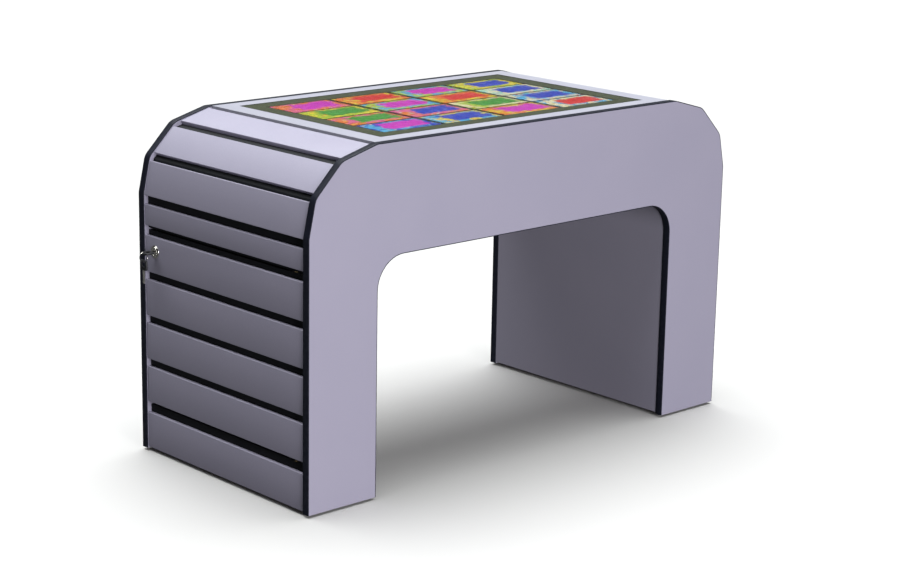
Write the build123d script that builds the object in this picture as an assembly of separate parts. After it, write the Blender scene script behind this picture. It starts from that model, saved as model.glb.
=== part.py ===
from build123d import *
import math
import os

# Touch-screen cocktail game table: two arch panels joined by a top, slatted ends, an inner lining
# and bottom plates. The left end has a lockable service door. Millimetres, +Z up, floor at Z = 0,
# the long front face towards -Y, the door end towards -X.

# ---- overall ---------------------------------------------------------------------------------
LENGTH = 1240.0            # over the two slatted ends
WIDTH = 580.0              # over the two arch panels
PANEL_H = 744.0            # height of an arch panel
FOOT_LIFT = 6.0            # arch panels hang clear of the floor by this much

# ---- boards ----------------------------------------------------------------------------------
PANEL_T = 18.0             # arch panels and top panel
BAND_T = 2.0               # edge banding
LINER_T = 12.0             # inner walls, curved corners, underside
LINER_RECESS = 1.0         # lining sits this far behind the edge of the opening
BACK_T = 16.0              # black boards behind the slats, and the door board
PLATE_T = 16.0             # bottom plates
PLATE_LIFT = 4.0           # bottom plates sit this far above the arch panels' feet

# ---- arch opening ----------------------------------------------------------------------------
LEG_W = 180.0              # width of each leg
OPENING_H = 509.0          # opening height above the arch panels' feet
OPENING_R = 70.0           # radius of the opening's top corners

# ---- shoulders: corner points as (inset from the end, drop from the top) ----------------------
SHOULDER = [(176.0, 0.0), (84.0, 25.0), (17.0, 93.0), (0.0, 171.0)]
SHOULDER_R = 35.0          # rounding of the arch panels' shoulder corners

# ---- slats -----------------------------------------------------------------------------------
SLAT_T = 9.0
SLAT_RECESS = 3.0          # slat faces sit this far inside the arch panels' edges
SLAT_ROUND = 0.8           # eased long edges
SLAT_GAP = 18.0            # between slats on the door
SLAT_FOOT = 3.5            # lowest slat above the arch panels' feet
GAP_UNDER_DOOR = 25.0      # between slat 9 and slat 8
GAP_OVER_DOOR = 22.5       # between slat 5 and slat 4
GAP_OVER_SLAT_4 = 20.0
SLAT_4_H = 45.0
FACET_MARGINS = [(2.0, 16.0), (9.0, 14.0), (8.5, -3.0)]   # slats 1 to 3, from each end of a facet

# ---- top, glass and display ------------------------------------------------------------------
TOP_INSET = 184.0          # end of the top panel from the end of the table
GLASS_L = 774.0
GLASS_W = 466.0
GLASS_T = 4.0
GLASS_EASE = 0.4           # ground top edge
SEAL_W = 3.0               # black seal round the glass
MASK_T = 1.0               # black border under the glass
LEDGE_W = 12.0             # ledge under the seal and the glass edge
SCREEN_L = 698.4           # lit area of a 31.5 inch display
SCREEN_W = 392.9
DISPLAY_RIM = 8.0          # unlit rim of the display
DISPLAY_T = 4.0
HOUSING_T = 25.0
HUMP_L = 300.0             # electronics cover on the back of the display
HUMP_W = 200.0
HUMP_T = 12.0
HOUSING_WALL = 2.0         # pressed steel
HOUSING_EDGE = 2.5         # bevel round its back
RAIL_X = 250.0             # display rails from the table's middle
RAIL_W = 30.0
RAIL_H = 15.0
RAIL_T = 2.0
BATTEN = 20.0              # square battens

# ---- service door ----------------------------------------------------------------------------
DOOR_HINGE_GAP = 3.0       # beside the front arch panel
DOOR_FREE_GAP = 2.0        # beside the rear arch panel
DOOR_END_GAP = 4.0         # above and below the door board
DOOR_BOARD_LAP = 4.0       # door board below slat 8
PIVOT_DEPTH = 16.0         # pivot axis behind the end of the table
PIVOT_INSET = 37.0         # pivot axis from the front arch panel
PIN_R = 2.5
PIN_LEN = 12.0             # length of pin inside its bush
PIVOT_FIT = 0.05           # radial clearance
BUSH_WALL = 1.0
BUSH_FLANGE_R = 5.0
BUSH_FLANGE_T = 1.5
PIVOT_PLATE_T = 2.0
PIVOT_PLATE_L = 50.0

# ---- cam lock --------------------------------------------------------------------------------
LOCK_INSET = 36.0          # lock axis from the rear arch panel
LOCK_DROP = 31.5           # lock axis below the top of slat 5
ROSETTE_R = 14.0
ROSETTE_T = 3.0
ROSETTE_ROUND = 1.8
DISH_R = 9.0               # shallow dish round the plug
DISH_DEEP = 1.0
BARREL_R = 9.5
BARREL_END = 36.0          # barrel's inner end behind the end of the table
BARREL_FIT = 0.1           # radial clearance in the door
PLUG_R = 6.0
PLUG_FIT = 0.05
PLUG_PROUD = 1.0
NUT_R = 12.5
NUT_T = 4.0
CAM_T = 2.5
CAM_W = 14.0
CAM_REACH = 30.0
CAM_GAP = 0.4              # between the barrel's end and the cam
KEEPER_T = 2.5
KEEPER_REACH = 20.0
KEEPER_H = 34.0
KEEPER_L = 30.0
KEEPER_SCREW_X = 19.5      # keeper's screws from its flange
KEEPER_PITCH = 17.0

# ---- keys ------------------------------------------------------------------------------------
BLADE_W = 7.5
BLADE_T = 2.0
BLADE_IN = 24.0            # blade inside the plug
BLADE_FIT = 0.15
SPARE_BLADE = 30.0
NECK = 4.0                 # bare blade between the lock and the bow
BOW_L = 23.0
BOW_W = 24.0
BOW_T = 4.0
BOW_ROUND = 4.0
SLOT_L = 12.5              # slot for the ring, along the key
SLOT_W = 13.0
BOW_RIM = 2.8              # bow material between the slot and the bow's end
RING_R = 10.5              # ring centre line
WIRE_R = 0.8
RING_FIT = 0.7             # play of the ring in a bow

# ---- feet ------------------------------------------------------------------------------------
GLIDE_R = 15.0
GLIDE_ROUND = 1.5
GLIDE_IN_X = 30.0          # glide centres from the edges of a bottom plate
GLIDE_IN_Y = 45.0

# ---- electrical ------------------------------------------------------------------------------
PC_T = 45.0
PC_W = 160.0
PC_H = 160.0
PC_ROUND = 12.0
PC_Y = -40.0
PC_Z = 330.0               # centre of the computer above the floor
STRIP_L = 260.0
STRIP_W = 50.0
STRIP_H = 40.0
STRIP_ROUND = 6.0
STRIP_Y = -30.0
INLET_Y = 190.0
INLET_Z = 70.0
INLET_W = 48.0             # along Y
INLET_H = 28.0
INLET_DEEP = 28.0
INLET_FLANGE = 4.0
INLET_FLANGE_T = 2.5
INLET_ROUND = 3.0
INLET_FIT = 0.5
C14_W = 24.0               # plug cavity
C14_H = 16.0
C14_DEEP = 16.0
C14_OFF = -9.0             # cavity centre from the inlet's centre
C14_PIN = 2.0
C14_PIN_L = 10.0
C14_PITCH = 7.0
C14_EARTH_UP = 2.5         # middle pin above the inlet's centre
C14_LINE_DOWN = 2.0        # outer pins below it
ROCKER_W = 12.0
ROCKER_H = 18.0
ROCKER_OFF = 14.0
ROCKER_WELL = 10.0         # depth of the rocker's well
ROCKER_SINK = 2.0          # pivot behind the flange's face
ROCKER_R = 6.0             # radius of the rocker's underside round its pivot
ROCKER_T = 3.0             # rocker's valley above its pivot
ROCKER_FIT = 0.4
ROCKER_TILT = 7.0          # half of the rocker's throw, degrees
CABLE_R = 3.5
CABLE_BEND = 35.0
CABLE_CLEAR = 1.0          # display cable above the underside panel
CABLE_ENTRY = 30.0         # where it enters the electronics cover, from the cover's end
MAINS_BEND = 18.0
MAINS_REACH = 55.0         # mains cable comes down this far in front of the inlet

# ---- screws ----------------------------------------------------------------------------------
SCREW_HEAD_R = 4.0
SCREW_HEAD_T = 2.5
SCREW_R = 2.0
SCREW_LEN = 14.0

# ---- places worked out from the sizes above ----------------------------------------------------
SLAT_BACK = SLAT_RECESS + SLAT_T               # depth of the slats' backs
BOARD_BACK = SLAT_BACK + BACK_T                # depth of the black boards' inner faces
BAR_OUT = NECK + PLUG_PROUD + BOW_L - BOW_RIM / 2      # ring bar of the key, beyond the end
RING_OUT = BAR_OUT + RING_R + WIRE_R           # the ring's outermost point beyond the end
X_LEFT = -(LENGTH - RING_OUT) / 2              # the bounding box, ring included, is centred
X_RIGHT = X_LEFT + LENGTH
X_MID = (X_LEFT + X_RIGHT) / 2
Y_OUT = WIDTH / 2
Y_IN = Y_OUT - PANEL_T
Z_FOOT = FOOT_LIFT
Z_TOP = FOOT_LIFT + PANEL_H
Z_PLATE = Z_FOOT + PLATE_LIFT
Z_PLATE_TOP = Z_PLATE + PLATE_T
Z_OPEN = Z_FOOT + OPENING_H
WALL_FACE = LEG_W - LINER_RECESS               # inset of the inner walls' outer faces
WALL_BACK = WALL_FACE - LINER_T
ARC_INSET = LEG_W + OPENING_R
ARC_Z = Z_OPEN - OPENING_R
ARC_R = OPENING_R + LINER_RECESS
Z_LEDGE = Z_TOP - GLASS_T - MASK_T
Z_HOUSING = Z_LEDGE - DISPLAY_T - HOUSING_T
CORNERS = [(inset, Z_TOP - drop) for inset, drop in SHOULDER]
BELOW = 20.0               # outlines run this far below the feet before they are trimmed

LEFT = -1
RIGHT = 1


def end_x(side, inset):
    """X of a point that lies `inset` from the left or the right end of the table."""
    if side == LEFT:
        return X_LEFT + inset
    return X_RIGHT - inset


def block(x0, x1, y0, y1, z0, z1):
    """Box between two corners, whichever order its X limits come in."""
    centre = Pos((x0 + x1) / 2, (y0 + y1) / 2, (z0 + z1) / 2)
    return centre * Box(abs(x1 - x0), y1 - y0, z1 - z0)


def slab(sketch, y0, y1):
    """Extrude a sketch, drawn as (X, Z), from y0 to y1."""
    plane = Plane(origin=(0, y1, 0), x_dir=(1, 0, 0), z_dir=(0, -1, 0))
    return extrude(plane * sketch, amount=y1 - y0)


def outline(points):
    """Filled polygon."""
    return make_face(Polyline(*points, close=True))


def round_corners(sketch, points, radius):
    """Fillet the sketch's vertices that lie at the given points."""
    chosen = [sketch.vertices().sort_by_distance(Vector(x, z, 0))[0] for x, z in points]
    return fillet(chosen, radius)


def rod(radius, start, end):
    """Cylinder between two points."""
    axis = Vector(*end) - Vector(*start)
    plane = Plane(origin=start, z_dir=axis)
    return extrude(plane * Circle(radius), amount=axis.length)


def save(name, *solids):
    """Write one node as STEP."""
    shape = solids[0] if len(solids) == 1 else Compound(children=list(solids))
    export_step(shape, "parts/" + name + ".step")


# ---- shoulder geometry -------------------------------------------------------------------------
def facet_axes(index):
    """Start, direction, inward normal and length of a shoulder facet, as (inset, Z) vectors."""
    start = Vector(*CORNERS[index])
    end = Vector(*CORNERS[index + 1])
    along = (end - start).normalized()
    inward = Vector(-along.Y, along.X)
    return start, along, inward, (end - start).length


def facet_point(index, s, depth):
    """Point at distance s along a facet and `depth` inside it."""
    start, along, inward, _ = facet_axes(index)
    point = start + along * s + inward * depth
    return point.X, point.Y


def crossing(index, depth):
    """Where the end profile, offset inwards by depth, turns at corner `index`."""
    _, along, inward, length = facet_axes(index - 1)
    before = Vector(*facet_point(index - 1, length, depth))
    if index == len(CORNERS) - 1:
        next_along = Vector(0, -1)
        after = Vector(depth, CORNERS[index][1])
    else:
        next_along = facet_axes(index)[1]
        after = Vector(*facet_point(index, 0, depth))
    gap = after - before
    share = (gap.X * next_along.Y - gap.Y * next_along.X)
    share = share / (along.X * next_along.Y - along.Y * next_along.X)
    point = before + along * share
    return point.X, point.Y


def end_prism(side, points, y0=-Y_IN, y1=Y_IN):
    """Prism across the table whose section is given as (inset, Z) points."""
    return slab(outline([(end_x(side, inset), z) for inset, z in points]), y0, y1)


# ---- arch panels and their edge bands --------------------------------------------------------
def arch_regions():
    """Board, outer band and inner band of an arch panel, as (X, Z) sketches."""
    low = Z_FOOT - BELOW
    left = [(end_x(LEFT, inset), z) for inset, z in CORNERS]
    right = [(end_x(RIGHT, inset), z) for inset, z in reversed(CORNERS)]
    outer = outline([(X_RIGHT, low), (X_LEFT, low)] + left[::-1] + right[::-1])
    outer = round_corners(outer, left + right, SHOULDER_R)
    core = offset(outer, amount=-BAND_T, kind=Kind.INTERSECTION)
    jambs = [(end_x(LEFT, LEG_W), Z_OPEN), (end_x(RIGHT, LEG_W), Z_OPEN)]
    feet = [(end_x(RIGHT, LEG_W), low - BELOW), (end_x(LEFT, LEG_W), low - BELOW)]
    opening = round_corners(outline(jambs + feet), jambs, OPENING_R)
    wide_opening = offset(opening, amount=BAND_T, kind=Kind.INTERSECTION)
    above_feet = Pos(X_MID, Z_FOOT + PANEL_H) * Rectangle(2 * LENGTH, 2 * PANEL_H)
    board = (core - wide_opening) & above_feet
    outer_band = (outer - core) & above_feet
    inner_band = (wide_opening - opening) & above_feet
    return board, outer_band, inner_band


def make_arches():
    board, outer_band, inner_band = arch_regions()
    save("front_arch_panel", slab(board, -Y_OUT, -Y_IN))
    save("rear_arch_panel", slab(board, Y_IN, Y_OUT))
    save("front_edge_bands", slab(outer_band, -Y_OUT, -Y_IN), slab(inner_band, -Y_OUT, -Y_IN))
    save("rear_edge_bands", slab(outer_band, Y_IN, Y_OUT), slab(inner_band, Y_IN, Y_OUT))


# ---- slats -------------------------------------------------------------------------------------
def facet_slat(side, index):
    """Slat 1, 2 or 3, lying on a shoulder facet."""
    length = facet_axes(index)[3]
    lead, tail = FACET_MARGINS[index]
    stations = [(lead, SLAT_RECESS), (length - tail, SLAT_RECESS)]
    stations += [(length - tail, SLAT_BACK), (lead, SLAT_BACK)]
    points = [facet_point(index, s, depth) for s, depth in stations]
    solid = end_prism(side, points)
    return fillet(solid.edges().filter_by(Axis.Y), SLAT_ROUND)


def upright_slat(side, z0, z1, y0=-Y_IN, y1=Y_IN):
    """Slat on the upright part of an end."""
    solid = block(end_x(side, SLAT_RECESS), end_x(side, SLAT_BACK), y0, y1, z0, z1)
    return fillet(solid.edges().filter_by(Axis.Y), SLAT_ROUND)


def upright_levels():
    """Bottom and top of slats 4 to 9, highest first; slats 5 to 9 share what height is left."""
    last = len(FACET_MARGINS) - 1
    slat_3_low = facet_point(last, facet_axes(last)[3] - FACET_MARGINS[last][1], SLAT_RECESS)[1]
    top = slat_3_low - GAP_OVER_SLAT_4
    gaps = [GAP_OVER_DOOR, SLAT_GAP, SLAT_GAP, SLAT_GAP, GAP_UNDER_DOOR]
    height = (top - SLAT_4_H - sum(gaps) - Z_FOOT - SLAT_FOOT) / len(gaps)
    levels = [(top - SLAT_4_H, top)]
    for gap in gaps:
        upper = levels[-1][0] - gap
        levels.append((upper - height, upper))
    return levels


LEVELS = upright_levels()
Z_DOOR_LOW = LEVELS[4][0] - DOOR_BOARD_LAP     # door board, below slat 8
Z_DOOR_TOP = LEVELS[1][1] + GAP_OVER_DOOR / 2  # door board, above slat 5
Z_RAIL_TOP = Z_DOOR_LOW - DOOR_END_GAP         # top of the rail under the door
Z_HEADER_LOW = Z_DOOR_TOP + DOOR_END_GAP       # underside of the header over the door
DOOR_Y0 = -Y_IN + DOOR_HINGE_GAP
DOOR_Y1 = Y_IN - DOOR_FREE_GAP
PIVOT_X = end_x(LEFT, PIVOT_DEPTH)
PIVOT_Y = -Y_IN + PIVOT_INSET
LOCK_Y = Y_IN - LOCK_INSET
LOCK_Z = LEVELS[1][1] - LOCK_DROP


def make_slats():
    for side, word in ((LEFT, "left"), (RIGHT, "right")):
        for index in range(len(FACET_MARGINS)):
            save(f"{word}_slat_{index + 1}", facet_slat(side, index))
        for number, (z0, z1) in enumerate(LEVELS, start=4):
            on_door = side == LEFT and 5 <= number <= 8
            if not on_door:
                save(f"{word}_slat_{number}", upright_slat(side, z0, z1))


# ---- black boards behind the slats -----------------------------------------------------------
def shoulder_boards(side):
    """Three mitred boards under slats 1 to 3; the first runs up to the top panel."""
    along = facet_axes(0)[1]
    boards = []
    for index in range(len(FACET_MARGINS)):
        ends = []
        for depth in (SLAT_BACK, BOARD_BACK):
            if index == 0:
                inset, z = facet_point(0, 0, depth)
                near = (TOP_INSET, z + along.Y / along.X * (TOP_INSET - inset))
            else:
                near = crossing(index, depth)
            ends.append((near, crossing(index + 1, depth)))
        (outer_a, outer_b), (inner_a, inner_b) = ends
        boards.append(end_prism(side, [outer_a, outer_b, inner_b, inner_a]))
    return boards


def upright_board(side, z0):
    """Board from height z0 up to the mitre under slat 3."""
    corner = len(CORNERS) - 1
    points = [(SLAT_BACK, z0), crossing(corner, SLAT_BACK)]
    points += [crossing(corner, BOARD_BACK), (BOARD_BACK, z0)]
    return end_prism(side, points)


def bush_hole(z0, z1):
    """Hole in a rail for a pivot bush."""
    return rod(PIN_R + PIVOT_FIT + BUSH_WALL, (PIVOT_X, PIVOT_Y, z0), (PIVOT_X, PIVOT_Y, z1))


def make_back_boards():
    save("left_shoulder_boards", *shoulder_boards(LEFT))
    save("right_shoulder_boards", *shoulder_boards(RIGHT))
    save("right_end_board", upright_board(RIGHT, Z_PLATE))
    header = upright_board(LEFT, Z_HEADER_LOW)
    header = header - bush_hole(Z_HEADER_LOW, Z_HEADER_LOW + PIN_LEN)
    x0 = end_x(LEFT, SLAT_BACK)
    x1 = end_x(LEFT, BOARD_BACK)
    rail = block(x0, x1, -Y_IN, Y_IN, Z_PLATE, Z_RAIL_TOP)
    rail = rail - bush_hole(Z_RAIL_TOP - PIN_LEN, Z_RAIL_TOP)
    save("door_opening_rails", header, rail)


# ---- top, glass and display ------------------------------------------------------------------
def top_block(length, width, z0, z1):
    """Block centred under the top."""
    half_l = length / 2
    half_w = width / 2
    return block(X_MID - half_l, X_MID + half_l, -half_w, half_w, z0, z1)


def make_top():
    rebate_l = GLASS_L + 2 * SEAL_W
    rebate_w = GLASS_W + 2 * SEAL_W
    panel = block(end_x(LEFT, TOP_INSET), end_x(RIGHT, TOP_INSET), -Y_IN, Y_IN, Z_TOP - PANEL_T, Z_TOP)
    panel = panel - top_block(rebate_l, rebate_w, Z_LEDGE, Z_TOP)
    panel = panel - top_block(rebate_l - 2 * LEDGE_W, rebate_w - 2 * LEDGE_W, Z_TOP - PANEL_T, Z_TOP)
    save("top_panel", panel)
    glass = top_block(GLASS_L, GLASS_W, Z_TOP - GLASS_T, Z_TOP)
    glass = chamfer(glass.faces().sort_by(Axis.Z)[-1].edges(), GLASS_EASE)
    save("touch_glass", glass)
    seal = top_block(rebate_l, rebate_w, Z_LEDGE, Z_TOP) - top_block(GLASS_L, GLASS_W, Z_LEDGE, Z_TOP)
    save("glass_seal", seal)
    mask = top_block(GLASS_L, GLASS_W, Z_LEDGE, Z_LEDGE + MASK_T)
    mask = mask - top_block(SCREEN_L, SCREEN_W, Z_LEDGE, Z_LEDGE + MASK_T)
    save("screen_mask", mask)


def make_display():
    length = SCREEN_L + 2 * DISPLAY_RIM
    width = SCREEN_W + 2 * DISPLAY_RIM
    save("display_panel", top_block(length, width, Z_LEDGE - DISPLAY_T, Z_LEDGE))
    housing = top_block(length, width, Z_HOUSING, Z_LEDGE - DISPLAY_T)
    housing = chamfer(housing.faces().sort_by(Axis.Z)[0].edges(), HOUSING_EDGE)
    hump = top_block(HUMP_L, HUMP_W, Z_HOUSING - HUMP_T, Z_HOUSING)
    hump = chamfer(hump.faces().sort_by(Axis.Z)[0].edges(), HOUSING_EDGE)
    thin = 2 * HOUSING_WALL
    inside = top_block(length - thin, width - thin, Z_HOUSING + HOUSING_WALL, Z_LEDGE - DISPLAY_T)
    z_hump = Z_HOUSING - HUMP_T + HOUSING_WALL
    inside = inside + top_block(HUMP_L - thin, HUMP_W - thin, z_hump, Z_HOUSING + HOUSING_WALL)
    save("display_housing", housing + hump - inside)


def channel(x):
    """Steel channel across the table under the display, web uppermost."""
    half = RAIL_W / 2
    outer = block(x - half, x + half, -Y_IN, Y_IN, Z_HOUSING - RAIL_H, Z_HOUSING)
    low = Z_HOUSING - RAIL_H
    inner = block(x - half + RAIL_T, x + half - RAIL_T, -Y_IN, Y_IN, low, Z_HOUSING - RAIL_T)
    return outer - inner


def screw(seat, way):
    """Pan-head wood screw: its head sits on `seat` and its shank runs along `way`."""
    seat = Vector(*seat)
    way = Vector(*way)
    head = rod(SCREW_HEAD_R, seat - way * SCREW_HEAD_T, seat)
    rim = head.edges().filter_by(GeomType.CIRCLE).sort_by_distance(seat - way * SCREW_HEAD_T)[0]
    head = chamfer(rim, SCREW_HEAD_T / 3)
    return head + rod(SCREW_R, seat, seat + way * SCREW_LEN)


def make_supports():
    rail_xs = (X_MID - RAIL_X, X_MID + RAIL_X)
    save("display_rails", *[channel(x) for x in rail_xs])
    battens = []
    for sign in (-1, 1):
        y0, y1 = sorted((sign * Y_IN, sign * (Y_IN - BATTEN)))
        x0 = end_x(LEFT, TOP_INSET + BATTEN)
        x1 = end_x(RIGHT, TOP_INSET + BATTEN)
        battens.append(block(x0, x1, y0, y1, Z_HOUSING, Z_TOP - PANEL_T))
        for side in (LEFT, RIGHT):
            wall = end_x(side, WALL_BACK)
            battens.append(block(wall, end_x(side, WALL_BACK - BATTEN), y0, y1, Z_PLATE_TOP, ARC_Z))
        board = end_x(RIGHT, BOARD_BACK)
        battens.append(block(board, end_x(RIGHT, BOARD_BACK + BATTEN), y0, y1, Z_PLATE_TOP, ARC_Z))
    save("support_battens", *battens)
    screws = []
    for x in rail_xs:
        for sign in (-1, 1):
            y = sign * (Y_IN - BATTEN / 2)
            screws.append(screw((x, y, Z_HOUSING - RAIL_T), (0, 0, 1)))
    for dz in (-KEEPER_PITCH / 2, KEEPER_PITCH / 2):
        x = end_x(LEFT, KEEPER_X + KEEPER_SCREW_X)
        screws.append(screw((x, Y_IN - KEEPER_T, LOCK_Z + dz), (0, 1, 0)))
    save("cabinet_screws", *screws)


# ---- lining of the arch ------------------------------------------------------------------------
def corner_liner(side):
    """Quarter ring of bent ply between an inner wall and the underside."""
    cx = end_x(side, ARC_INSET)
    ring = Circle(ARC_R + LINER_T) - Circle(ARC_R)
    reach = ARC_R + LINER_T
    quarter = ring & (Pos(side * reach / 2, reach / 2) * Rectangle(reach, reach))
    return slab(Pos(cx, ARC_Z) * quarter, -Y_IN, Y_IN)


def make_lining():
    low = Z_OPEN + LINER_RECESS
    x0 = end_x(LEFT, ARC_INSET)
    x1 = end_x(RIGHT, ARC_INSET)
    save("underside_panel", block(x0, x1, -Y_IN, Y_IN, low, low + LINER_T))
    for side, word in ((LEFT, "left"), (RIGHT, "right")):
        save(f"{word}_corner_liner", corner_liner(side))
        wall = block(end_x(side, WALL_FACE), end_x(side, WALL_BACK), -Y_IN, Y_IN, Z_PLATE, ARC_Z)
        if side == LEFT:
            wall = wall - inlet_body(INLET_FIT)
        save(f"{word}_inner_wall", wall)
        x_out = end_x(side, BOARD_BACK)
        x_in = end_x(side, WALL_BACK)
        save(f"{word}_bottom_plate", block(x_out, x_in, -Y_IN, Y_IN, Z_PLATE, Z_PLATE_TOP))


def make_glides():
    glides = []
    for side in (LEFT, RIGHT):
        for inset in (BOARD_BACK + GLIDE_IN_X, WALL_BACK - GLIDE_IN_X):
            for sign in (-1, 1):
                x = end_x(side, inset)
                y = sign * (Y_IN - GLIDE_IN_Y)
                glide = rod(GLIDE_R, (x, y, 0), (x, y, Z_PLATE))
                rim = glide.edges().filter_by(GeomType.CIRCLE).sort_by(Axis.Z)[0]
                glides.append(fillet(rim, GLIDE_ROUND))
    save("foot_glides", *glides)


# ---- service door ------------------------------------------------------------------------------
def lock_hole():
    """Hole through slat 5 and the door board for the lock barrel."""
    start = (end_x(LEFT, 0), LOCK_Y, LOCK_Z)
    return rod(BARREL_R + BARREL_FIT, start, (end_x(LEFT, BOARD_BACK), LOCK_Y, LOCK_Z))


def pivot_plate(board_edge, way):
    """Steel plate on an edge of the door board, with its pivot pin; way is +1 up, -1 down."""
    x0 = end_x(LEFT, SLAT_BACK)
    x1 = end_x(LEFT, BOARD_BACK)
    half = PIVOT_PLATE_L / 2
    z0, z1 = sorted((board_edge, board_edge + way * PIVOT_PLATE_T))
    plate = block(x0, x1, PIVOT_Y - half, PIVOT_Y + half, z0, z1)
    face = board_edge + way * PIVOT_PLATE_T
    reach = DOOR_END_GAP - PIVOT_PLATE_T + PIN_LEN - PIVOT_FIT
    return plate + rod(PIN_R, (PIVOT_X, PIVOT_Y, face), (PIVOT_X, PIVOT_Y, face + way * reach))


def bush(face, way):
    """Flanged bush let into a rail; its flange stands out of `face` towards the door."""
    bore = PIN_R + PIVOT_FIT
    flange_end = face + way * BUSH_FLANGE_T
    solid = rod(bore + BUSH_WALL, (PIVOT_X, PIVOT_Y, face - way * PIN_LEN), (PIVOT_X, PIVOT_Y, face))
    solid = solid + rod(BUSH_FLANGE_R, (PIVOT_X, PIVOT_Y, face), (PIVOT_X, PIVOT_Y, flange_end))
    through = rod(bore, (PIVOT_X, PIVOT_Y, face - way * PIN_LEN), (PIVOT_X, PIVOT_Y, flange_end))
    return solid - through


def make_door():
    x0 = end_x(LEFT, SLAT_BACK)
    x1 = end_x(LEFT, BOARD_BACK)
    board = block(x0, x1, DOOR_Y0, DOOR_Y1, Z_DOOR_LOW, Z_DOOR_TOP)
    save("door_board", board - lock_hole())
    for number in range(5, 9):
        z0, z1 = LEVELS[number - 4]
        slat = upright_slat(LEFT, z0, z1, DOOR_Y0, DOOR_Y1)
        if number == 5:
            slat = slat - lock_hole()
        save(f"door_slat_{number}", slat)
    save("pivot_plates", pivot_plate(Z_DOOR_TOP, 1), pivot_plate(Z_DOOR_LOW, -1))
    save("pivot_bushes", bush(Z_HEADER_LOW, -1), bush(Z_RAIL_TOP, 1))


# ---- lock ----------------------------------------------------------------------------------------
KEEPER_X = BARREL_END - CAM_GAP - KEEPER_T     # keeper's flange, just before the cam
PLUG_END = BARREL_END + CAM_GAP + CAM_T + PLUG_PROUD


def lock_rod(radius, inset0, inset1):
    """Cylinder on the lock's axis between two insets from the left end."""
    start = (end_x(LEFT, inset0), LOCK_Y, LOCK_Z)
    return rod(radius, start, (end_x(LEFT, inset1), LOCK_Y, LOCK_Z))


def make_lock():
    rosette = lock_rod(ROSETTE_R, SLAT_RECESS - ROSETTE_T, SLAT_RECESS)
    rim = rosette.edges().filter_by(GeomType.CIRCLE).sort_by(Axis.X)[0]
    rosette = fillet(rim, ROSETTE_ROUND)
    dish = lock_rod(DISH_R, SLAT_RECESS - ROSETTE_T, SLAT_RECESS - ROSETTE_T + DISH_DEEP)
    barrel = (rosette - dish) + lock_rod(BARREL_R, SLAT_RECESS, BARREL_END)
    save("lock_barrel", barrel - lock_rod(PLUG_R + PLUG_FIT, -PLUG_PROUD, BARREL_END))
    plane = Plane(origin=(end_x(LEFT, BOARD_BACK), LOCK_Y, LOCK_Z), z_dir=(1, 0, 0))
    nut = extrude(plane * RegularPolygon(NUT_R, 6), amount=NUT_T)
    save("lock_nut", nut - lock_rod(BARREL_R, BOARD_BACK, BOARD_BACK + NUT_T))
    plug = lock_rod(PLUG_R, -PLUG_PROUD, BARREL_END)
    plug = plug + lock_block(-PLUG_PROUD, PLUG_END, PLUG_R, PLUG_R)
    slot = lock_block(-PLUG_PROUD, BLADE_IN, BLADE_W + 2 * BLADE_FIT, BLADE_T + 2 * BLADE_FIT)
    save("lock_plug", plug - slot)
    cam_start = BARREL_END + CAM_GAP
    hub = lock_rod(CAM_W / 2, cam_start, cam_start + CAM_T)
    x0 = end_x(LEFT, cam_start)
    x1 = end_x(LEFT, cam_start + CAM_T)
    arm = block(x0, x1, LOCK_Y - CAM_W / 2, LOCK_Y + CAM_W / 2, LOCK_Z - CAM_REACH, LOCK_Z)
    arm = fillet(arm.edges().filter_by(Axis.X).group_by(Axis.Z)[0], CAM_W / 4)
    save("lock_cam", hub + arm - lock_block(cam_start, cam_start + CAM_T, PLUG_R, PLUG_R))


def lock_block(inset0, inset1, width, height):
    """Square bar on the lock's axis."""
    half_w = width / 2
    half_h = height / 2
    x0 = end_x(LEFT, inset0)
    x1 = end_x(LEFT, inset1)
    return block(x0, x1, LOCK_Y - half_w, LOCK_Y + half_w, LOCK_Z - half_h, LOCK_Z + half_h)


def make_keeper():
    """Steel angle on the rear arch panel, which the cam turns behind."""
    half = KEEPER_H / 2
    x0 = end_x(LEFT, KEEPER_X)
    foot = block(x0, x0 + KEEPER_L, Y_IN - KEEPER_T, Y_IN, LOCK_Z - half, LOCK_Z + half)
    flange = block(x0, x0 + KEEPER_T, Y_IN - KEEPER_REACH, Y_IN, LOCK_Z - half, LOCK_Z + half)
    save("lock_keeper", foot + flange)


# ---- keys ------------------------------------------------------------------------------------------
def key_shape(blade):
    """Key lying in the XY plane: ring bar at the origin, blade towards +X."""
    bow_start = -BOW_RIM / 2
    bow_mid = bow_start + BOW_L / 2
    bow = RectangleRounded(BOW_L, BOW_W, BOW_ROUND)
    slot_mid = BOW_RIM / 2 + SLOT_L / 2
    slot = Pos(slot_mid - bow_mid, 0) * RectangleRounded(SLOT_L, SLOT_W, SLOT_L / 3)
    head = extrude(Pos(bow_mid, 0) * (bow - slot), amount=BOW_T / 2, both=True)
    shank = block(bow_start + BOW_L, bow_start + BOW_L + blade, -BLADE_W / 2, BLADE_W / 2,
                  -BLADE_T / 2, BLADE_T / 2)
    return head + shank


RING_X = end_x(LEFT, -BAR_OUT)
RING_CENTRE_Z = LOCK_Z + BOW_T / 2 + RING_FIT + WIRE_R - RING_R
SPARE_BAR_Z = RING_CENTRE_Z - RING_R + WIRE_R + RING_FIT + BOW_RIM / 2


def make_keys():
    key = key_shape(NECK + BLADE_IN + PLUG_PROUD)
    save("lock_key", Pos(RING_X, LOCK_Y, LOCK_Z) * key)
    plane = Plane(origin=(RING_X, LOCK_Y, RING_CENTRE_Z), z_dir=(0, 1, 0))
    save("key_ring", plane * Torus(RING_R, WIRE_R))
    hanging = Plane(origin=(RING_X, LOCK_Y, SPARE_BAR_Z), x_dir=(0, 0, -1), z_dir=(1, 0, 0))
    save("spare_key", hanging * key_shape(SPARE_BLADE))


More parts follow.
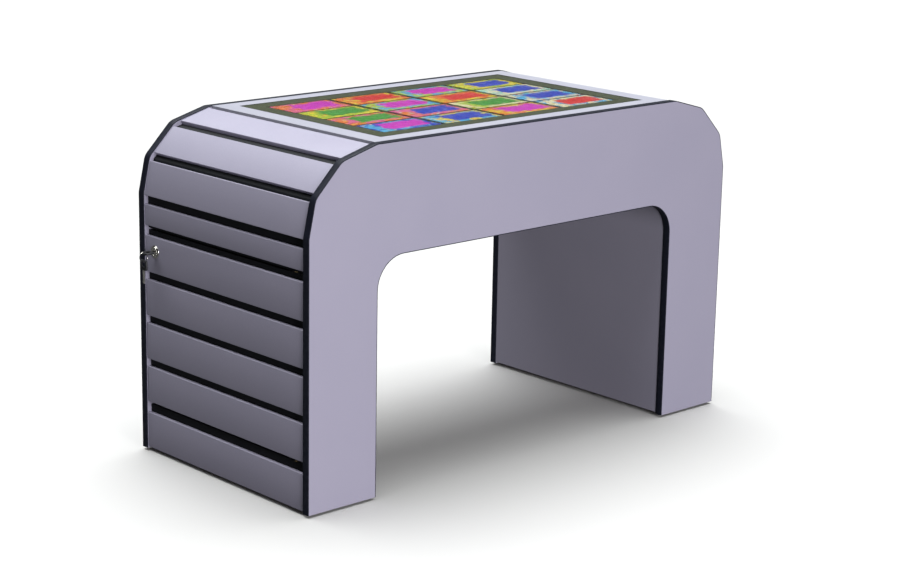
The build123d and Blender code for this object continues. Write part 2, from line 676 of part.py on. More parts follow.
# ---- electrical ----------------------------------------------------------------------------------
def inlet_body(fit=0.0):
    """Body of the power inlet that passes through the left inner wall."""
    half_w = INLET_W / 2 + fit
    half_h = INLET_H / 2 + fit
    x0 = end_x(LEFT, WALL_FACE - INLET_DEEP)
    x1 = end_x(LEFT, WALL_FACE)
    return block(x0, x1, INLET_Y - half_w, INLET_Y + half_w, INLET_Z - half_h, INLET_Z + half_h)


def make_inlet():
    x_face = end_x(LEFT, WALL_FACE)
    x_front = x_face + INLET_FLANGE_T
    half_w = INLET_W / 2 + INLET_FLANGE
    half_h = INLET_H / 2 + INLET_FLANGE
    flange = block(x_face, x_front, INLET_Y - half_w, INLET_Y + half_w, INLET_Z - half_h, INLET_Z + half_h)
    flange = fillet(flange.edges().filter_by(Axis.X), INLET_ROUND)
    body = inlet_body() + flange
    y = INLET_Y + C14_OFF
    cavity = block(x_front - C14_DEEP, x_front, y - C14_W / 2, y + C14_W / 2,
                   INLET_Z - C14_H / 2, INLET_Z + C14_H / 2)
    body = body - cavity
    for dy in (-C14_PITCH, 0.0, C14_PITCH):
        z = INLET_Z + (C14_EARTH_UP if dy == 0.0 else -C14_LINE_DOWN)
        x0 = x_front - C14_DEEP
        half = C14_PIN / 2
        body = body + block(x0, x0 + C14_PIN_L, y + dy - half, y + dy + half, z - C14_PIN, z + C14_PIN)
    rocker_y = INLET_Y + ROCKER_OFF
    half_y = ROCKER_W / 2 + ROCKER_FIT
    half_z = ROCKER_H / 2 + ROCKER_FIT
    well = block(x_front - ROCKER_WELL, x_front, rocker_y - half_y, rocker_y + half_y,
                 INLET_Z - half_z, INLET_Z + half_z)
    save("power_inlet", body - well)
    save("inlet_rocker", rocker(x_front - ROCKER_SINK, rocker_y))


def rocker(x, y):
    """Rocker in its off position, on a pivot along Y at (x, y)."""
    y0 = y - ROCKER_W / 2
    y1 = y + ROCKER_W / 2
    reach = ROCKER_H / 2 - ROCKER_FIT
    low = INLET_Z - reach
    high = INLET_Z + reach
    lobe = slab(Pos(x, INLET_Z) * Circle(ROCKER_R), y0, y1) & block(x - ROCKER_R, x, y0, y1, low, high)
    valley = x + ROCKER_T
    crest = valley + math.tan(math.radians(ROCKER_TILT)) * reach
    cap = slab(outline([(x, low), (crest, low), (valley, INLET_Z), (crest, high), (x, high)]), y0, y1)
    centre = Pos(x, y, INLET_Z)
    return centre * Rotation(0, ROCKER_TILT, 0) * centre.inverse() * (lobe + cap)


def make_electrics():
    x_wall = end_x(LEFT, WALL_BACK)
    y0 = PC_Y - PC_W / 2
    z0 = PC_Z - PC_H / 2
    case = block(x_wall - PC_T, x_wall, y0, y0 + PC_W, z0, z0 + PC_H)
    save("mini_pc", fillet(case.edges().filter_by(Axis.X), PC_ROUND))
    strip_x = (end_x(LEFT, BOARD_BACK) + x_wall) / 2
    strip_y = STRIP_Y - STRIP_L / 2
    strip = block(strip_x - STRIP_W / 2, strip_x + STRIP_W / 2, strip_y, strip_y + STRIP_L,
                  Z_PLATE_TOP, Z_PLATE_TOP + STRIP_H)
    save("power_strip", fillet(strip.edges().filter_by(Axis.Z), STRIP_ROUND))
    cable_x = x_wall - PC_T / 2
    run_z = Z_OPEN + LINER_RECESS + LINER_T + CABLE_R + CABLE_CLEAR
    entry_x = X_MID - HUMP_L / 2 + CABLE_ENTRY
    route = [(cable_x, PC_Y, PC_Z + PC_H / 2), (cable_x, PC_Y, run_z),
             (entry_x, PC_Y, run_z), (entry_x, PC_Y, Z_HOUSING - HUMP_T)]
    save("display_cable", tube(route))
    x_back = end_x(LEFT, WALL_FACE - INLET_DEEP)
    drop_y = strip_y + STRIP_L
    z_in = Z_PLATE_TOP + STRIP_H / 2
    route = [(x_back, INLET_Y, INLET_Z), (strip_x, INLET_Y, INLET_Z),
             (strip_x, INLET_Y - MAINS_REACH, z_in), (strip_x, drop_y, z_in)]
    save("mains_cable", tube(route, MAINS_BEND))


def tube(points, bend=CABLE_BEND):
    """Round cable along straight runs joined by tangent arcs."""
    path = FilletPolyline(*points, radius=bend)
    section = Plane(origin=points[0], z_dir=path % 0) * Circle(CABLE_R)
    return sweep(section, path=path)


os.makedirs("parts", exist_ok=True)
make_arches()
make_slats()
make_back_boards()
make_top()
make_display()
make_supports()
make_lining()
make_glides()
make_door()
make_lock()
make_keeper()
make_keys()
make_inlet()
make_electrics()
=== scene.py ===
"""Looks of a touch-screen cocktail game table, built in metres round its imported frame.

Two arch boards are joined by a flush glass top, slatted ends, an inner lining and bottom plates.
The -X end has a lockable service door, and the computer and its power lie behind it.
"""

import logging
import math
from dataclasses import dataclass
from enum import Enum
from typing import Iterable, Optional, Sequence, Union

import bmesh
import bpy
from mathutils import Matrix, Vector

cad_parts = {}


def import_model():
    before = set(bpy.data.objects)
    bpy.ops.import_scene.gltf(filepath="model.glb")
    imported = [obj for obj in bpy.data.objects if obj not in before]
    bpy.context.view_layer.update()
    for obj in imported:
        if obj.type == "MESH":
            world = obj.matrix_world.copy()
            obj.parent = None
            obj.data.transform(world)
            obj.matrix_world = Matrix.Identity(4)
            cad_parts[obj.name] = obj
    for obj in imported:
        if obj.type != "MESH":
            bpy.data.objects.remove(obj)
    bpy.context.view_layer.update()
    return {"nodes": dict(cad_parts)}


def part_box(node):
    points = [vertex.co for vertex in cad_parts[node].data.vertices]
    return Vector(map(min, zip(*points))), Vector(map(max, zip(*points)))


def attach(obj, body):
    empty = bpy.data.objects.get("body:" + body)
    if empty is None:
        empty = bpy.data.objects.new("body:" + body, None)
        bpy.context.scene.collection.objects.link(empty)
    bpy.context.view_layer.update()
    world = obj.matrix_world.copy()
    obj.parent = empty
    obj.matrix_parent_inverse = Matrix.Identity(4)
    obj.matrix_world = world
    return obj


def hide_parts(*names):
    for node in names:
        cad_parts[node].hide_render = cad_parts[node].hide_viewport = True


LOG = logging.getLogger("table")
MM = 0.001
SHARP = math.radians(35)

UP = (0.0, 0.0, 1.0)
DOWN = (0.0, 0.0, -1.0)
LEFTWARDS = (-1.0, 0.0, 0.0)
RIGHTWARDS = (1.0, 0.0, 0.0)
BACKWARDS = (0.0, 1.0, 0.0)
FORWARDS = (0.0, -1.0, 0.0)

Colour = tuple[float, float, float]
Point = Sequence[float]
Feed = Union[float, Sequence[float], bpy.types.Node, bpy.types.NodeSocket, None]


class Body(str, Enum):
    """Moving bodies of the frame."""

    CABINET = "cabinet"
    DOOR = "door"
    LOCK = "lock"
    RING = "ring"
    SPARE = "spare"


class Side(Enum):
    """Ends of the table, by the sign of their X."""

    LEFT = -1
    RIGHT = 1


# ---- node trees ----------------------------------------------------------------------------------
class Nodes:
    """Adds and links the nodes of one tree."""

    def __init__(self, tree: bpy.types.NodeTree) -> None:
        """Remember the tree.

        Args:
            tree: The material's or modifier's node tree.
        """
        self.tree = tree

    def feed(self, socket: bpy.types.NodeSocket, value: Feed) -> None:
        """Link a socket to a node or an output, or set its constant.

        Args:
            socket: The input socket.
            value: A node, an output socket or a constant.
        """
        if isinstance(value, bpy.types.Node):
            value = next(output for output in value.outputs if output.enabled)
        if isinstance(value, bpy.types.NodeSocket):
            self.tree.links.new(value, socket)
        else:
            socket.default_value = value

    def add(
        self, kind: str, inputs: Optional[dict[Union[str, int], Feed]] = None, **settings: object
    ) -> bpy.types.Node:
        """Add a node.

        Args:
            kind: Blender's name of the node's type.
            inputs: What feeds each input, by socket name or number.
            **settings: Properties of the node.

        Returns:
            The new node.
        """
        node = self.tree.nodes.new(kind)
        for name, value in settings.items():
            setattr(node, name, value)
        for key, value in (inputs or {}).items():
            self.feed(node.inputs[key], value)
        return node

    def maths(self, operation: str, *values: Feed) -> bpy.types.Node:
        """Add a Math node.

        Args:
            operation: Its operation.
            *values: Its inputs, in order.

        Returns:
            The new node.
        """
        family = "ShaderNodeMath"
        return self.add(family, dict(enumerate(values)), operation=operation)

    def spread(self, value: Feed, low: float, high: float, to_low: float, to_high: float) -> bpy.types.Node:
        """Add a Map Range node.

        Args:
            value: What is mapped.
            low: Its low end.
            high: Its high end.
            to_low: What the low end becomes.
            to_high: What the high end becomes.

        Returns:
            The new node.
        """
        return self.add("ShaderNodeMapRange", {0: value, 1: low, 2: high, 3: to_low, 4: to_high})

    def blend(self, factor: Feed, a: Feed, b: Feed) -> bpy.types.NodeSocket:
        """Mix two colours.

        Args:
            factor: Share of the second colour.
            a: First colour.
            b: Second colour.

        Returns:
            The colour output.
        """
        return self.add("ShaderNodeMix", {0: factor, 6: a, 7: b}, data_type="RGBA").outputs[2]


def rgba(colour: Colour) -> tuple[float, float, float, float]:
    """Colour with a full alpha."""
    return (*colour, 1.0)


@dataclass(frozen=True)
class Socket:
    """One named input or output of a node group."""

    name: str
    kind: str = "NodeSocketFloat"
    value: object = None


VECTOR = "NodeSocketVector"
COLOUR = "NodeSocketColor"
GEOMETRY = "NodeSocketGeometry"
OBJECT = "NodeSocketObject"
MATERIAL = "NodeSocketMaterial"
WHOLE = "NodeSocketInt"


def open_group(
    name: str, family: str, inputs: Iterable[Socket], outputs: Iterable[Socket]
) -> tuple[Nodes, bpy.types.bpy_prop_collection, bpy.types.Node]:
    """Start a node group.

    Args:
        name: The group's name.
        family: "ShaderNodeTree" or "GeometryNodeTree".
        inputs: Its inputs.
        outputs: Its outputs.

    Returns:
        The group's nodes, the sockets that it is given and its output node.
    """
    tree = bpy.data.node_groups.new(name, family)
    for direction, sockets in (("INPUT", inputs), ("OUTPUT", outputs)):
        for socket in sockets:
            made = tree.interface.new_socket(socket.name, in_out=direction, socket_type=socket.kind)
            if socket.value is not None:
                made.default_value = socket.value
    nodes = Nodes(tree)
    return nodes, nodes.add("NodeGroupInput").outputs, nodes.add("NodeGroupOutput")


# ---- surface effects, each a shader group ----------------------------------------------------------
class Effect(Enum):
    """Shader groups that more than one finish uses."""

    FLECK = "Fleck and cloud"
    HANDLING = "Handling marks"
    STREAK = "Drawn-out grain"
    RUB = "Rubbed edges"


def fleck_group() -> bpy.types.NodeTree:
    """Fine flecks and broad clouds over a base colour.

    Returns:
        The group.
    """
    ins = [
        Socket("Vector", VECTOR), Socket("Base", COLOUR), Socket("Fleck", COLOUR), Socket("Cloud", COLOUR),
        Socket("Fleck Scale", value=900.0), Socket("Cloud Scale", value=6.0),
        Socket("Fleck Amount", value=0.3), Socket("Cloud Amount", value=0.3),
    ]
    nodes, given, end = open_group(
        Effect.FLECK.value, "ShaderNodeTree", ins, [Socket("Colour", COLOUR), Socket("Height")]
    )
    fine = nodes.add(
        "ShaderNodeTexNoise", {"Vector": given["Vector"], "Scale": given["Fleck Scale"], "Detail": 3.0}
    )
    broad = nodes.add(
        "ShaderNodeTexNoise", {"Vector": given["Vector"], "Scale": given["Cloud Scale"], "Detail": 4.0}
    )
    flecks = nodes.maths("MULTIPLY", nodes.spread(fine, 0.48, 0.66, 0.0, 1.0), given["Fleck Amount"])
    clouds = nodes.maths("MULTIPLY", nodes.spread(broad, 0.35, 0.65, 0.0, 1.0), given["Cloud Amount"])
    clouded = nodes.blend(clouds, given["Base"], given["Cloud"])
    nodes.feed(end.inputs["Colour"], nodes.blend(flecks, clouded, given["Fleck"]))
    nodes.feed(end.inputs["Height"], fine)
    return nodes.tree


def handling_group() -> bpy.types.NodeTree:
    """Roughness that varies as hands and cloths leave it.

    Returns:
        The group.
    """
    ins = [
        Socket("Vector", VECTOR), Socket("Scale", value=9.0), Socket("Low", value=0.3),
        Socket("High", value=0.5),
    ]
    nodes, given, end = open_group(Effect.HANDLING.value, "ShaderNodeTree", ins, [Socket("Roughness")])
    smudge = nodes.add(
        "ShaderNodeTexNoise",
        {"Vector": given["Vector"], "Scale": given["Scale"], "Detail": 6.0, "Distortion": 1.4},
    )
    share = nodes.spread(smudge, 0.3, 0.7, 0.0, 1.0)
    reach = nodes.maths("SUBTRACT", given["High"], given["Low"])
    nodes.feed(end.inputs["Roughness"], nodes.maths("MULTIPLY_ADD", share, reach, given["Low"]))
    return nodes.tree


def streak_group() -> bpy.types.NodeTree:
    """Noise drawn out along one axis, for brushed metal and wood grain.

    Returns:
        The group.
    """
    ins = [
        Socket("Vector", VECTOR), Socket("Stretch", VECTOR), Socket("Scale", value=300.0),
        Socket("Bend", value=0.0),
    ]
    nodes, given, end = open_group(Effect.STREAK.value, "ShaderNodeTree", ins, [Socket("Value")])
    drawn = nodes.add(
        "ShaderNodeVectorMath", {0: given["Vector"], 1: given["Stretch"]}, operation="MULTIPLY"
    )
    noise = nodes.add(
        "ShaderNodeTexNoise",
        {"Vector": drawn, "Scale": given["Scale"], "Detail": 5.0, "Distortion": given["Bend"]},
    )
    nodes.feed(end.inputs["Value"], noise)
    return nodes.tree


def rub_group() -> bpy.types.NodeTree:
    """Mask of the arrises that wear first, broken up by noise.

    Returns:
        The group.
    """
    ins = [Socket("Vector", VECTOR), Socket("Scale", value=80.0), Socket("Reach", value=0.04)]
    nodes, given, end = open_group(Effect.RUB.value, "ShaderNodeTree", ins, [Socket("Mask")])
    arris = nodes.add("ShaderNodeNewGeometry").outputs["Pointiness"]
    raised = nodes.maths("DIVIDE", nodes.maths("SUBTRACT", arris, 0.5), given["Reach"])
    noise = nodes.add("ShaderNodeTexNoise", {"Vector": given["Vector"], "Scale": given["Scale"]})
    broken = nodes.maths("MULTIPLY", raised, nodes.spread(noise, 0.35, 0.65, 0.0, 1.0))
    broken.use_clamp = True
    nodes.feed(end.inputs["Mask"], broken)
    return nodes.tree


EFFECTS = {
    Effect.FLECK: fleck_group, Effect.HANDLING: handling_group, Effect.STREAK: streak_group,
    Effect.RUB: rub_group,
}


def effect(nodes: Nodes, which: Effect, inputs: dict[str, Feed]) -> bpy.types.Node:
    """Place a shader group in a material, building it the first time.

    Args:
        nodes: The material's nodes.
        which: The effect.
        inputs: What feeds it.

    Returns:
        The group node.
    """
    tree = bpy.data.node_groups.get(which.value) or EFFECTS[which]()
    node = nodes.add("ShaderNodeGroup", node_tree=tree)
    for name, value in inputs.items():
        nodes.feed(node.inputs[name], value)
    return node


# ---- finishes --------------------------------------------------------------------------------------
@dataclass(frozen=True)
class Finish:
    """A finish, with the record's slot that it stands for."""

    name: str
    slot: str
    colour: Colour

    def material(self) -> bpy.types.Material:
        """The finish's material, built the first time it is asked for.

        Returns:
            The material.
        """
        found = bpy.data.materials.get(self.name)
        if found:
            return found
        made = bpy.data.materials.new(self.name)
        made.use_nodes = True
        made.diffuse_color = rgba(self.colour)
        nodes = Nodes(made.node_tree)
        shader = made.node_tree.nodes["Principled BSDF"]
        shader.inputs["Base Color"].default_value = rgba(self.colour)
        self.paint(nodes, shader)
        return made

    def paint(self, nodes: Nodes, shader: bpy.types.Node) -> None:
        """Feed the shader.

        Args:
            nodes: The material's nodes.
            shader: Its Principled BSDF.
        """
        raise NotImplementedError

    @staticmethod
    def place(nodes: Nodes) -> bpy.types.NodeSocket:
        """Object coordinates, which are metres in the frame."""
        return nodes.add("ShaderNodeTexCoord").outputs["Object"]

    @staticmethod
    def bump(nodes: Nodes, shader: bpy.types.Node, height: Feed, strength: float, depth: float) -> None:
        """Bump the shader's normal.

        Args:
            nodes: The material's nodes.
            shader: Its Principled BSDF.
            height: The height.
            strength: How much of it counts.
            depth: Depth of the full height, in metres.
        """
        made = nodes.add("ShaderNodeBump", {"Strength": strength, "Distance": depth, "Height": height})
        nodes.feed(shader.inputs["Normal"], made)


@dataclass(frozen=True)
class Laminate(Finish):
    """Melamine or laminate on board: fine flecks, faint clouds, satin skin."""

    fleck: Colour = (0.5, 0.5, 0.5)
    cloud: Colour = (0.4, 0.4, 0.4)
    fleck_amount: float = 0.25
    cloud_amount: float = 0.35
    fleck_scale: float = 700.0
    low: float = 0.41
    high: float = 0.49
    pebble: float = 0.25
    shine: float = 0.3

    def paint(self, nodes: Nodes, shader: bpy.types.Node) -> None:
        """Feed the shader.

        Args:
            nodes: The material's nodes.
            shader: Its Principled BSDF.
        """
        place = self.place(nodes)
        skin = effect(nodes, Effect.FLECK, {
            "Vector": place, "Base": rgba(self.colour), "Fleck": rgba(self.fleck), "Cloud": rgba(self.cloud),
            "Fleck Scale": self.fleck_scale, "Cloud Scale": 5.0,
            "Fleck Amount": self.fleck_amount, "Cloud Amount": self.cloud_amount,
        })
        marks = effect(
            nodes, Effect.HANDLING, {"Vector": place, "Scale": 7.0, "Low": self.low, "High": self.high}
        )
        nodes.feed(shader.inputs["Base Color"], skin.outputs["Colour"])
        nodes.feed(shader.inputs["Roughness"], marks)
        shader.inputs["Specular IOR Level"].default_value = self.shine
        self.bump(nodes, shader, skin.outputs["Height"], self.pebble, 0.05 * MM)


@dataclass(frozen=True)
class Moulded(Finish):
    """Moulded plastic or rubber: spark-eroded grain, rubbed arrises."""

    rubbed: Colour = (0.04, 0.04, 0.046)
    grain: float = 1500.0
    low: float = 0.4
    high: float = 0.58
    depth: float = 0.06 * MM
    coat: float = 0.0
    shine: float = 0.5

    def paint(self, nodes: Nodes, shader: bpy.types.Node) -> None:
        """Feed the shader.

        Args:
            nodes: The material's nodes.
            shader: Its Principled BSDF.
        """
        place = self.place(nodes)
        skin = effect(nodes, Effect.FLECK, {
            "Vector": place, "Base": rgba(self.colour), "Fleck": rgba(self.rubbed),
            "Cloud": rgba(self.colour),
            "Fleck Scale": self.grain, "Cloud Scale": 30.0, "Fleck Amount": 0.12, "Cloud Amount": 0.0,
        })
        rub = effect(nodes, Effect.RUB, {"Vector": place, "Scale": 120.0, "Reach": 0.12})
        marks = effect(
            nodes, Effect.HANDLING, {"Vector": place, "Scale": 40.0, "Low": self.low, "High": self.high}
        )
        nodes.feed(shader.inputs["Base Color"], nodes.blend(rub, skin.outputs["Colour"], rgba(self.rubbed)))
        nodes.feed(shader.inputs["Roughness"], marks)
        shader.inputs["Specular IOR Level"].default_value = self.shine
        shader.inputs["Coat Weight"].default_value = self.coat
        shader.inputs["Coat Roughness"].default_value = 0.15
        self.bump(nodes, shader, skin.outputs["Height"], 0.3, self.depth)


@dataclass(frozen=True)
class Metal(Finish):
    """Bare or plated metal: drawn-out scratches, tarnish clouds."""

    tarnish: Colour = (0.3, 0.3, 0.32)
    stretch: Colour = (1.0, 0.05, 1.0)
    low: float = 0.18
    high: float = 0.34
    tarnish_amount: float = 0.35
    scratch: float = 0.25

    def paint(self, nodes: Nodes, shader: bpy.types.Node) -> None:
        """Feed the shader.

        Args:
            nodes: The material's nodes.
            shader: Its Principled BSDF.
        """
        place = self.place(nodes)
        skin = effect(nodes, Effect.FLECK, {
            "Vector": place, "Base": rgba(self.colour), "Fleck": rgba(self.colour),
            "Cloud": rgba(self.tarnish),
            "Fleck Scale": 400.0, "Cloud Scale": 55.0, "Fleck Amount": 0.0,
            "Cloud Amount": self.tarnish_amount,
        })
        lines = effect(
            nodes, Effect.STREAK, {"Vector": place, "Stretch": self.stretch, "Scale": 1800.0, "Bend": 0.1}
        )
        marks = effect(
            nodes, Effect.HANDLING, {"Vector": place, "Scale": 60.0, "Low": self.low, "High": self.high}
        )
        nodes.feed(shader.inputs["Base Color"], skin.outputs["Colour"])
        nodes.feed(shader.inputs["Roughness"], marks)
        shader.inputs["Metallic"].default_value = 1.0
        self.bump(nodes, shader, lines, self.scratch, 0.03 * MM)


@dataclass(frozen=True)
class Timber(Finish):
    """Planed softwood, with its grain along one axis."""

    late: Colour = (0.42, 0.24, 0.1)
    stretch: Colour = (0.06, 1.0, 1.0)

    def paint(self, nodes: Nodes, shader: bpy.types.Node) -> None:
        """Feed the shader.

        Args:
            nodes: The material's nodes.
            shader: Its Principled BSDF.
        """
        place = self.place(nodes)
        rings = effect(
            nodes, Effect.STREAK, {"Vector": place, "Stretch": self.stretch, "Scale": 110.0, "Bend": 0.8}
        )
        fibres = effect(
            nodes, Effect.STREAK, {"Vector": place, "Stretch": self.stretch, "Scale": 900.0, "Bend": 0.2}
        )
        late = nodes.spread(rings, 0.44, 0.62, 0.0, 0.75)
        nodes.feed(shader.inputs["Base Color"], nodes.blend(late, rgba(self.colour), rgba(self.late)))
        nodes.feed(shader.inputs["Roughness"], nodes.spread(fibres, 0.3, 0.7, 0.55, 0.75))
        self.bump(nodes, shader, fibres, 0.4, 0.15 * MM)


@dataclass(frozen=True)
class Pane(Finish):
    """Toughened glass with a faint film left by hands."""

    def paint(self, nodes: Nodes, shader: bpy.types.Node) -> None:
        """Feed the shader.

        Args:
            nodes: The material's nodes.
            shader: Its Principled BSDF.
        """
        place = self.place(nodes)
        film = effect(nodes, Effect.HANDLING, {"Vector": place, "Scale": 14.0, "Low": 0.004, "High": 0.03})
        nodes.feed(shader.inputs["Roughness"], film)
        shader.inputs["Transmission Weight"].default_value = 1.0
        shader.inputs["IOR"].default_value = 1.5


@dataclass(frozen=True)
class Printed(Finish):
    """Ink printed under the glass, with pinholes in its film; a glow above 0 is painted light for the lamp
    light that the glass stops.
    """

    pinhole: Colour = (0.06, 0.07, 0.05)
    # lit: emission strength of the ink, painted light in place of the lamp light that the glass stops
    lit: float = 0.0

    def paint(self, nodes: Nodes, shader: bpy.types.Node) -> None:
        """Feed the shader.

        Args:
            nodes: The material's nodes.
            shader: Its Principled BSDF.
        """
        place = self.place(nodes)
        ink = effect(nodes, Effect.FLECK, {
            "Vector": place, "Base": rgba(self.colour), "Fleck": rgba(self.pinhole),
            "Cloud": rgba(self.pinhole),
            "Fleck Scale": 1200.0, "Cloud Scale": 12.0, "Fleck Amount": 0.2, "Cloud Amount": 0.4,
        })
        nodes.feed(shader.inputs["Base Color"], ink.outputs["Colour"])
        # Painted light: the ink glows in its own colour, standing in for the lamp light that the glass keeps
        # off it.
        if self.lit:
            nodes.feed(shader.inputs["Emission Color"], ink.outputs["Colour"])
            shader.inputs["Emission Strength"].default_value = self.lit
        nodes.feed(shader.inputs["Roughness"], effect(nodes, Effect.HANDLING, {
            "Vector": place, "Scale": 20.0, "Low": 0.2, "High": 0.35,
        }))


@dataclass(frozen=True)
class TilePalette:
    """Colours of one picture tile."""

    ground: Colour
    patch: Colour
    spot: Colour
    band: Colour


@dataclass(frozen=True)
class LitTiles(Finish):
    """Lit display: abstract tiles with a sparkling band and round counters on a patched ground."""

    palettes: tuple[TilePalette, ...] = ()
    glow: float = 1.8
    band_middle: tuple[float, float] = (0.59, 0.54)
    band_reach: tuple[float, float] = (0.34, 0.33)
    sparkle: Colour = (0.95, 0.9, 0.85)
    unlit: Colour = (0.01, 0.01, 0.012)

    def by_tile(self, nodes: Nodes, index: bpy.types.NodeSocket, part: str) -> bpy.types.Node:
        """Colour of one part of the palette, chosen by the tile's number.

        Args:
            nodes: The material's nodes.
            index: The tile's number.
            part: Name of the palette's field.

        Returns:
            A stepped colour ramp.
        """
        count = len(self.palettes)
        share = nodes.maths("DIVIDE", nodes.maths("ADD", index, 0.5), count)
        ramp = nodes.add("ShaderNodeValToRGB", {0: share})
        ramp.color_ramp.interpolation = "CONSTANT"
        for number, palette in enumerate(self.palettes):
            stops = ramp.color_ramp.elements
            stop = stops[0] if number == 0 else stops.new(number / count)
            stop.position = number / count
            stop.color = rgba(getattr(palette, part))
        ramp.color_ramp.elements[-1].color = rgba(getattr(self.palettes[-1], part))
        return ramp

    def paint(self, nodes: Nodes, shader: bpy.types.Node) -> None:
        """Feed the shader.

        Args:
            nodes: The material's nodes.
            shader: Its Principled BSDF.
        """
        index = nodes.add("ShaderNodeAttribute", attribute_name="tile_number").outputs["Fac"]
        where = nodes.add("ShaderNodeAttribute", attribute_name="tile_place").outputs["Vector"]
        split = nodes.add("ShaderNodeSeparateXYZ", {0: where})
        shifted = nodes.add("ShaderNodeCombineXYZ", {
            0: nodes.maths("MULTIPLY", split.outputs[0], 1.8), 1: split.outputs[1],
            2: nodes.maths("MULTIPLY", index, 3.7),
        })
        patches = nodes.add(
            "ShaderNodeTexNoise", {"Vector": shifted, "Scale": 3.2, "Detail": 2.0, "Distortion": 0.6}
        )
        spots = nodes.add("ShaderNodeTexVoronoi", {"Vector": shifted, "Scale": 6.5, "Randomness": 0.9})
        fine = nodes.add("ShaderNodeTexVoronoi", {"Vector": shifted, "Scale": 30.0})
        base = nodes.blend(nodes.spread(patches, 0.46, 0.56, 0.0, 1.0), self.by_tile(nodes, index, "ground"),
                           self.by_tile(nodes, index, "patch"))
        counters = nodes.spread(spots.outputs["Distance"], 0.22, 0.30, 1.0, 0.0)
        some = nodes.spread(nodes.add("ShaderNodeSeparateColor", {0: spots.outputs["Color"]}).outputs[0],
                            0.45, 0.5, 0.0, 1.0)
        ground = nodes.blend(
            nodes.maths("MULTIPLY", counters, some), base, self.by_tile(nodes, index, "spot")
        )
        edge = nodes.maths("MULTIPLY", nodes.maths("SUBTRACT", patches, 0.5), 0.3)
        past = []
        for axis, (middle, reach) in enumerate(zip(self.band_middle, self.band_reach)):
            off = nodes.maths("ABSOLUTE", nodes.maths("SUBTRACT", split.outputs[axis], middle))
            past.append(nodes.maths("SUBTRACT", off, reach))
        bar = nodes.maths("ADD", nodes.maths("MAXIMUM", *past), edge)
        inside = nodes.spread(bar, 0.0, 0.03, 1.0, 0.0)
        sparkle = nodes.spread(fine.outputs["Distance"], 0.08, 0.3, 0.5, 0.0)
        shade = nodes.blend(sparkle, self.by_tile(nodes, index, "band"), rgba(self.sparkle))
        picture = nodes.blend(inside, ground, shade)
        nodes.feed(shader.inputs["Emission Color"], picture)
        shader.inputs["Emission Strength"].default_value = self.glow
        shader.inputs["Base Color"].default_value = rgba(self.unlit)
        shader.inputs["Roughness"].default_value = 0.3


